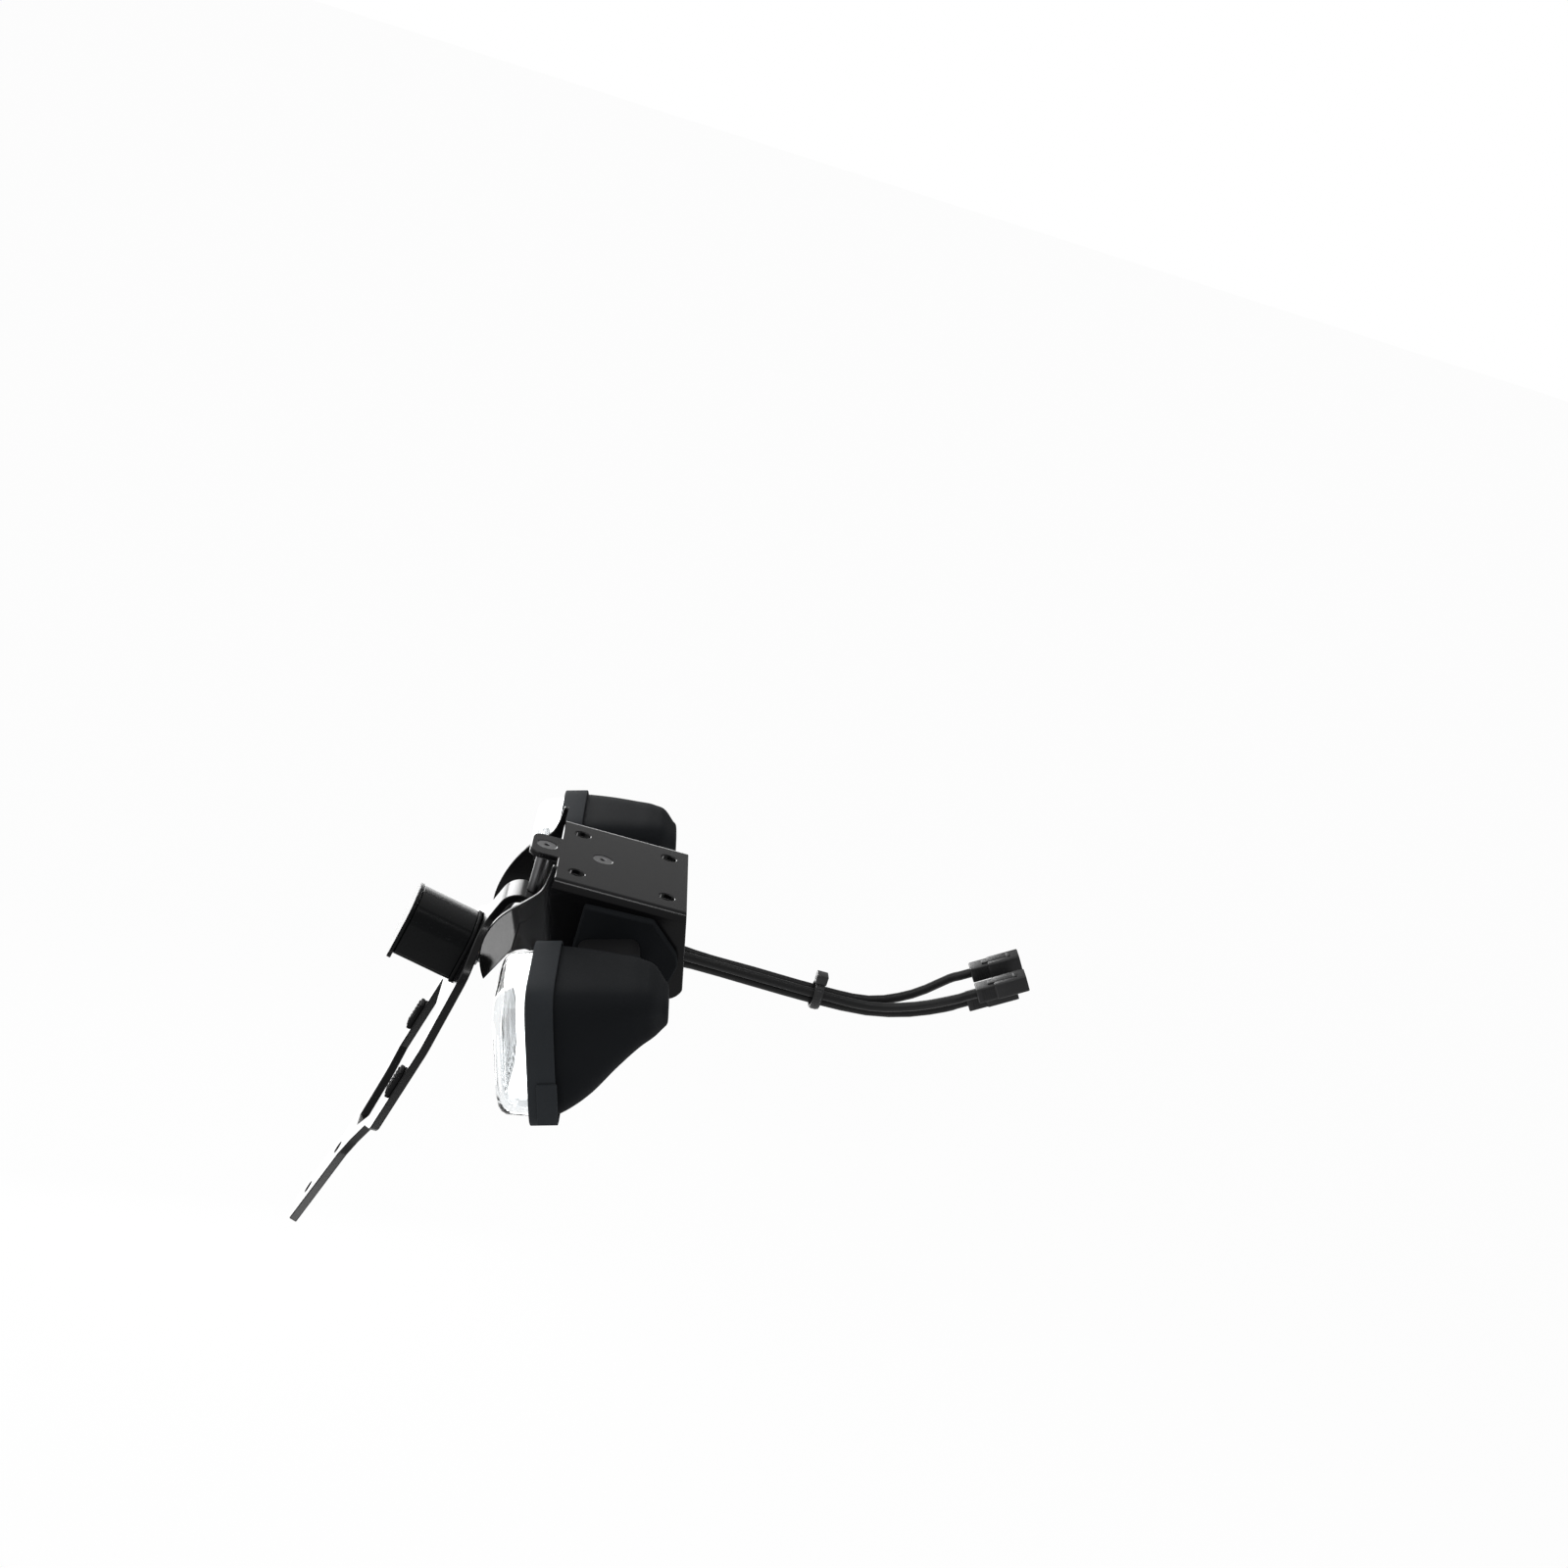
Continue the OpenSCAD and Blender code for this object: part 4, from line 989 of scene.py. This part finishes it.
def moved(obj, to_frame, x, y, z):
    """Carry a small mesh built at the origin to a point in another set of axes."""
    corners = ((x, y, z), (x + 1, y, z), (x, y + 1, z), (x, y, z + 1))
    ends = [Vector(to_frame(np.array(corner, float))) for corner in corners]
    axes = Matrix([(e - ends[0]) / MM for e in ends[1:]]).transposed()
    obj.data.transform(Matrix.Translation(ends[0]) @ axes.to_4x4())
    return obj


def make_spacers():
    bm = bmesh.new()
    long, inside, outside, cut = neck_drop - sheet_t, 2.1, 3.0, 0.3
    profile = [(0, inside + cut), (0, outside - cut), (cut, outside), (long - cut, outside),
               (long, outside - cut), (long, inside + cut), (long - cut, inside), (cut, inside)]
    rings = [turned_ring(h, r, 48) for h, r in profile]
    for y in neck_bolt_y:
        ring_skin(bm, rings, upright(0, y, -neck_drop, in_metres), loop=True)
    return keep(from_bmesh("neck_spacers_finished", bm, 40), "fastener", "neck_spacers")


def make_grommet():
    bm = bmesh.new()
    bore, hole, flange, back = lead_r + 0.1, 4.1, 5.4, -plate_t - 0.05
    profile = [(back - 1.2, bore), (back - 1.35, bore + 0.2), (back - 1.35, flange - 0.5),
               (back - 1.2, flange - 0.15), (back - 0.9, flange), (back - 0.3, flange),
               (back - 0.05, flange - 0.15), (back, flange - 0.4), (back, hole), (1.1, hole),
               (1.4, hole - 0.4), (1.4, bore)]
    ring_skin(bm, [turned_ring(h, r, 56) for h, r in profile], upright(0, 0, 0, at_light), loop=True)
    return keep(from_bmesh("light_grommet_finished", bm, 40), "rubber_black", "light_grommet")


stud_x = 10


def make_light_studs():
    bm = bmesh.new()
    tip, head = -plate_t - 3.6, 4.0
    profile = [(tip, 0.9), (tip + 0.35, 1.28), (-plate_t - 0.2, 1.28), (-plate_t, 1.5), (head, 1.5),
               (head, 2.5), (head + 0.1, 2.6), (head + 0.9, 2.6), (head + 1.2, 2.2), (head + 1.2, 1.2),
               (head + 0.6, 1.1)]
    rings = [turned_ring(h, r, 40) for h, r in profile]
    for x in (-stud_x, stud_x):
        ring_skin(bm, rings, upright(x, 0, 0, at_light))
    parts = [from_bmesh("light_studs_finished", bm, 35)]
    for x in (-stud_x, stud_x):
        parts.append(moved(make_coil(*stud_thread), at_light, x, 0, tip + 0.4))
    return keep(joined(parts, 35), "fastener", "light_studs")


print("small parts:", [make().name for make in (make_spacers, make_grommet, make_light_studs)])

# %% [markdown]
# The light's board is seen through the lens from below: two white LEDs in their packages, and three
# resistors beside them. The plate's pads are moulded rubber with grip ribs, which come from the rib
# tree.


# %% Board and pads
board_size, board_y, led_x, led_y, resistor_x, resistor_y = (28.0, 1.6, 15), 13, 5, 12.75, 10.5, 12.6
pad_x, pad_long, pad_high = 32.5, 13, 1.96
led_dome = [(-2.2, 0.15), (-2.15, 0.7), (-2.0, 1.1), (-1.8, 1.3)]


def make_board():
    bm = bmesh.new()
    rounded_block(bm, (0, -0.2, board_y), board_size, at_light, 0.15)
    for x in (-resistor_x, 0, resistor_x):
        rounded_block(bm, (x, -1.25, resistor_y), (1.3, 0.6, 2.4), at_light, 0.1)
    return keep(from_bmesh("light_board_finished", bm, 30), "board_green", "light_board")


def make_leds():
    """Each LED is a white package on two solder feet, with a dome."""
    bm = bmesh.new()
    for x in (-led_x, led_x):
        rounded_block(bm, (x, -1.4, led_y), (3.5, 0.9, 3.5), at_light, 0.15)
        for corner in (-1, 1):
            rounded_block(bm, (x + corner * 2.1, -1.15, led_y), (0.7, 0.3, 2.0), at_light, 0.08)
        ring_skin(bm, [turned_ring(y, r, 32) + (x, 0, led_y) for y, r in led_dome], at_light)
    return keep(from_bmesh("light_leds", bm, 30), "reflector", "light_board")


def make_pads():
    bm = bmesh.new()
    for x in (-pad_x, pad_x):
        rounded_block(bm, (x, pad_long / 2, pad_high / 2), (8, pad_long, pad_high), at_pads, 0.5)
    parts = [from_bmesh("plate_pads_finished", bm, 40)]
    for x in (-pad_x, pad_x):
        comb = from_tree("pad_ribs", ribs, Count=6, Step=1.9 * MM, Size=(6.6 * MM, 0.8 * MM, 0.8 * MM))
        parts.append(moved(comb, at_pads, x, pad_long / 2, 2.0))
    return keep(joined(parts, 30), "rubber_black", "plate_pads")


print("made:", [make().name for make in (make_board, make_leds, make_pads)])

# %% Close
print("triangles of the pieces:", sum(triangles.values()))
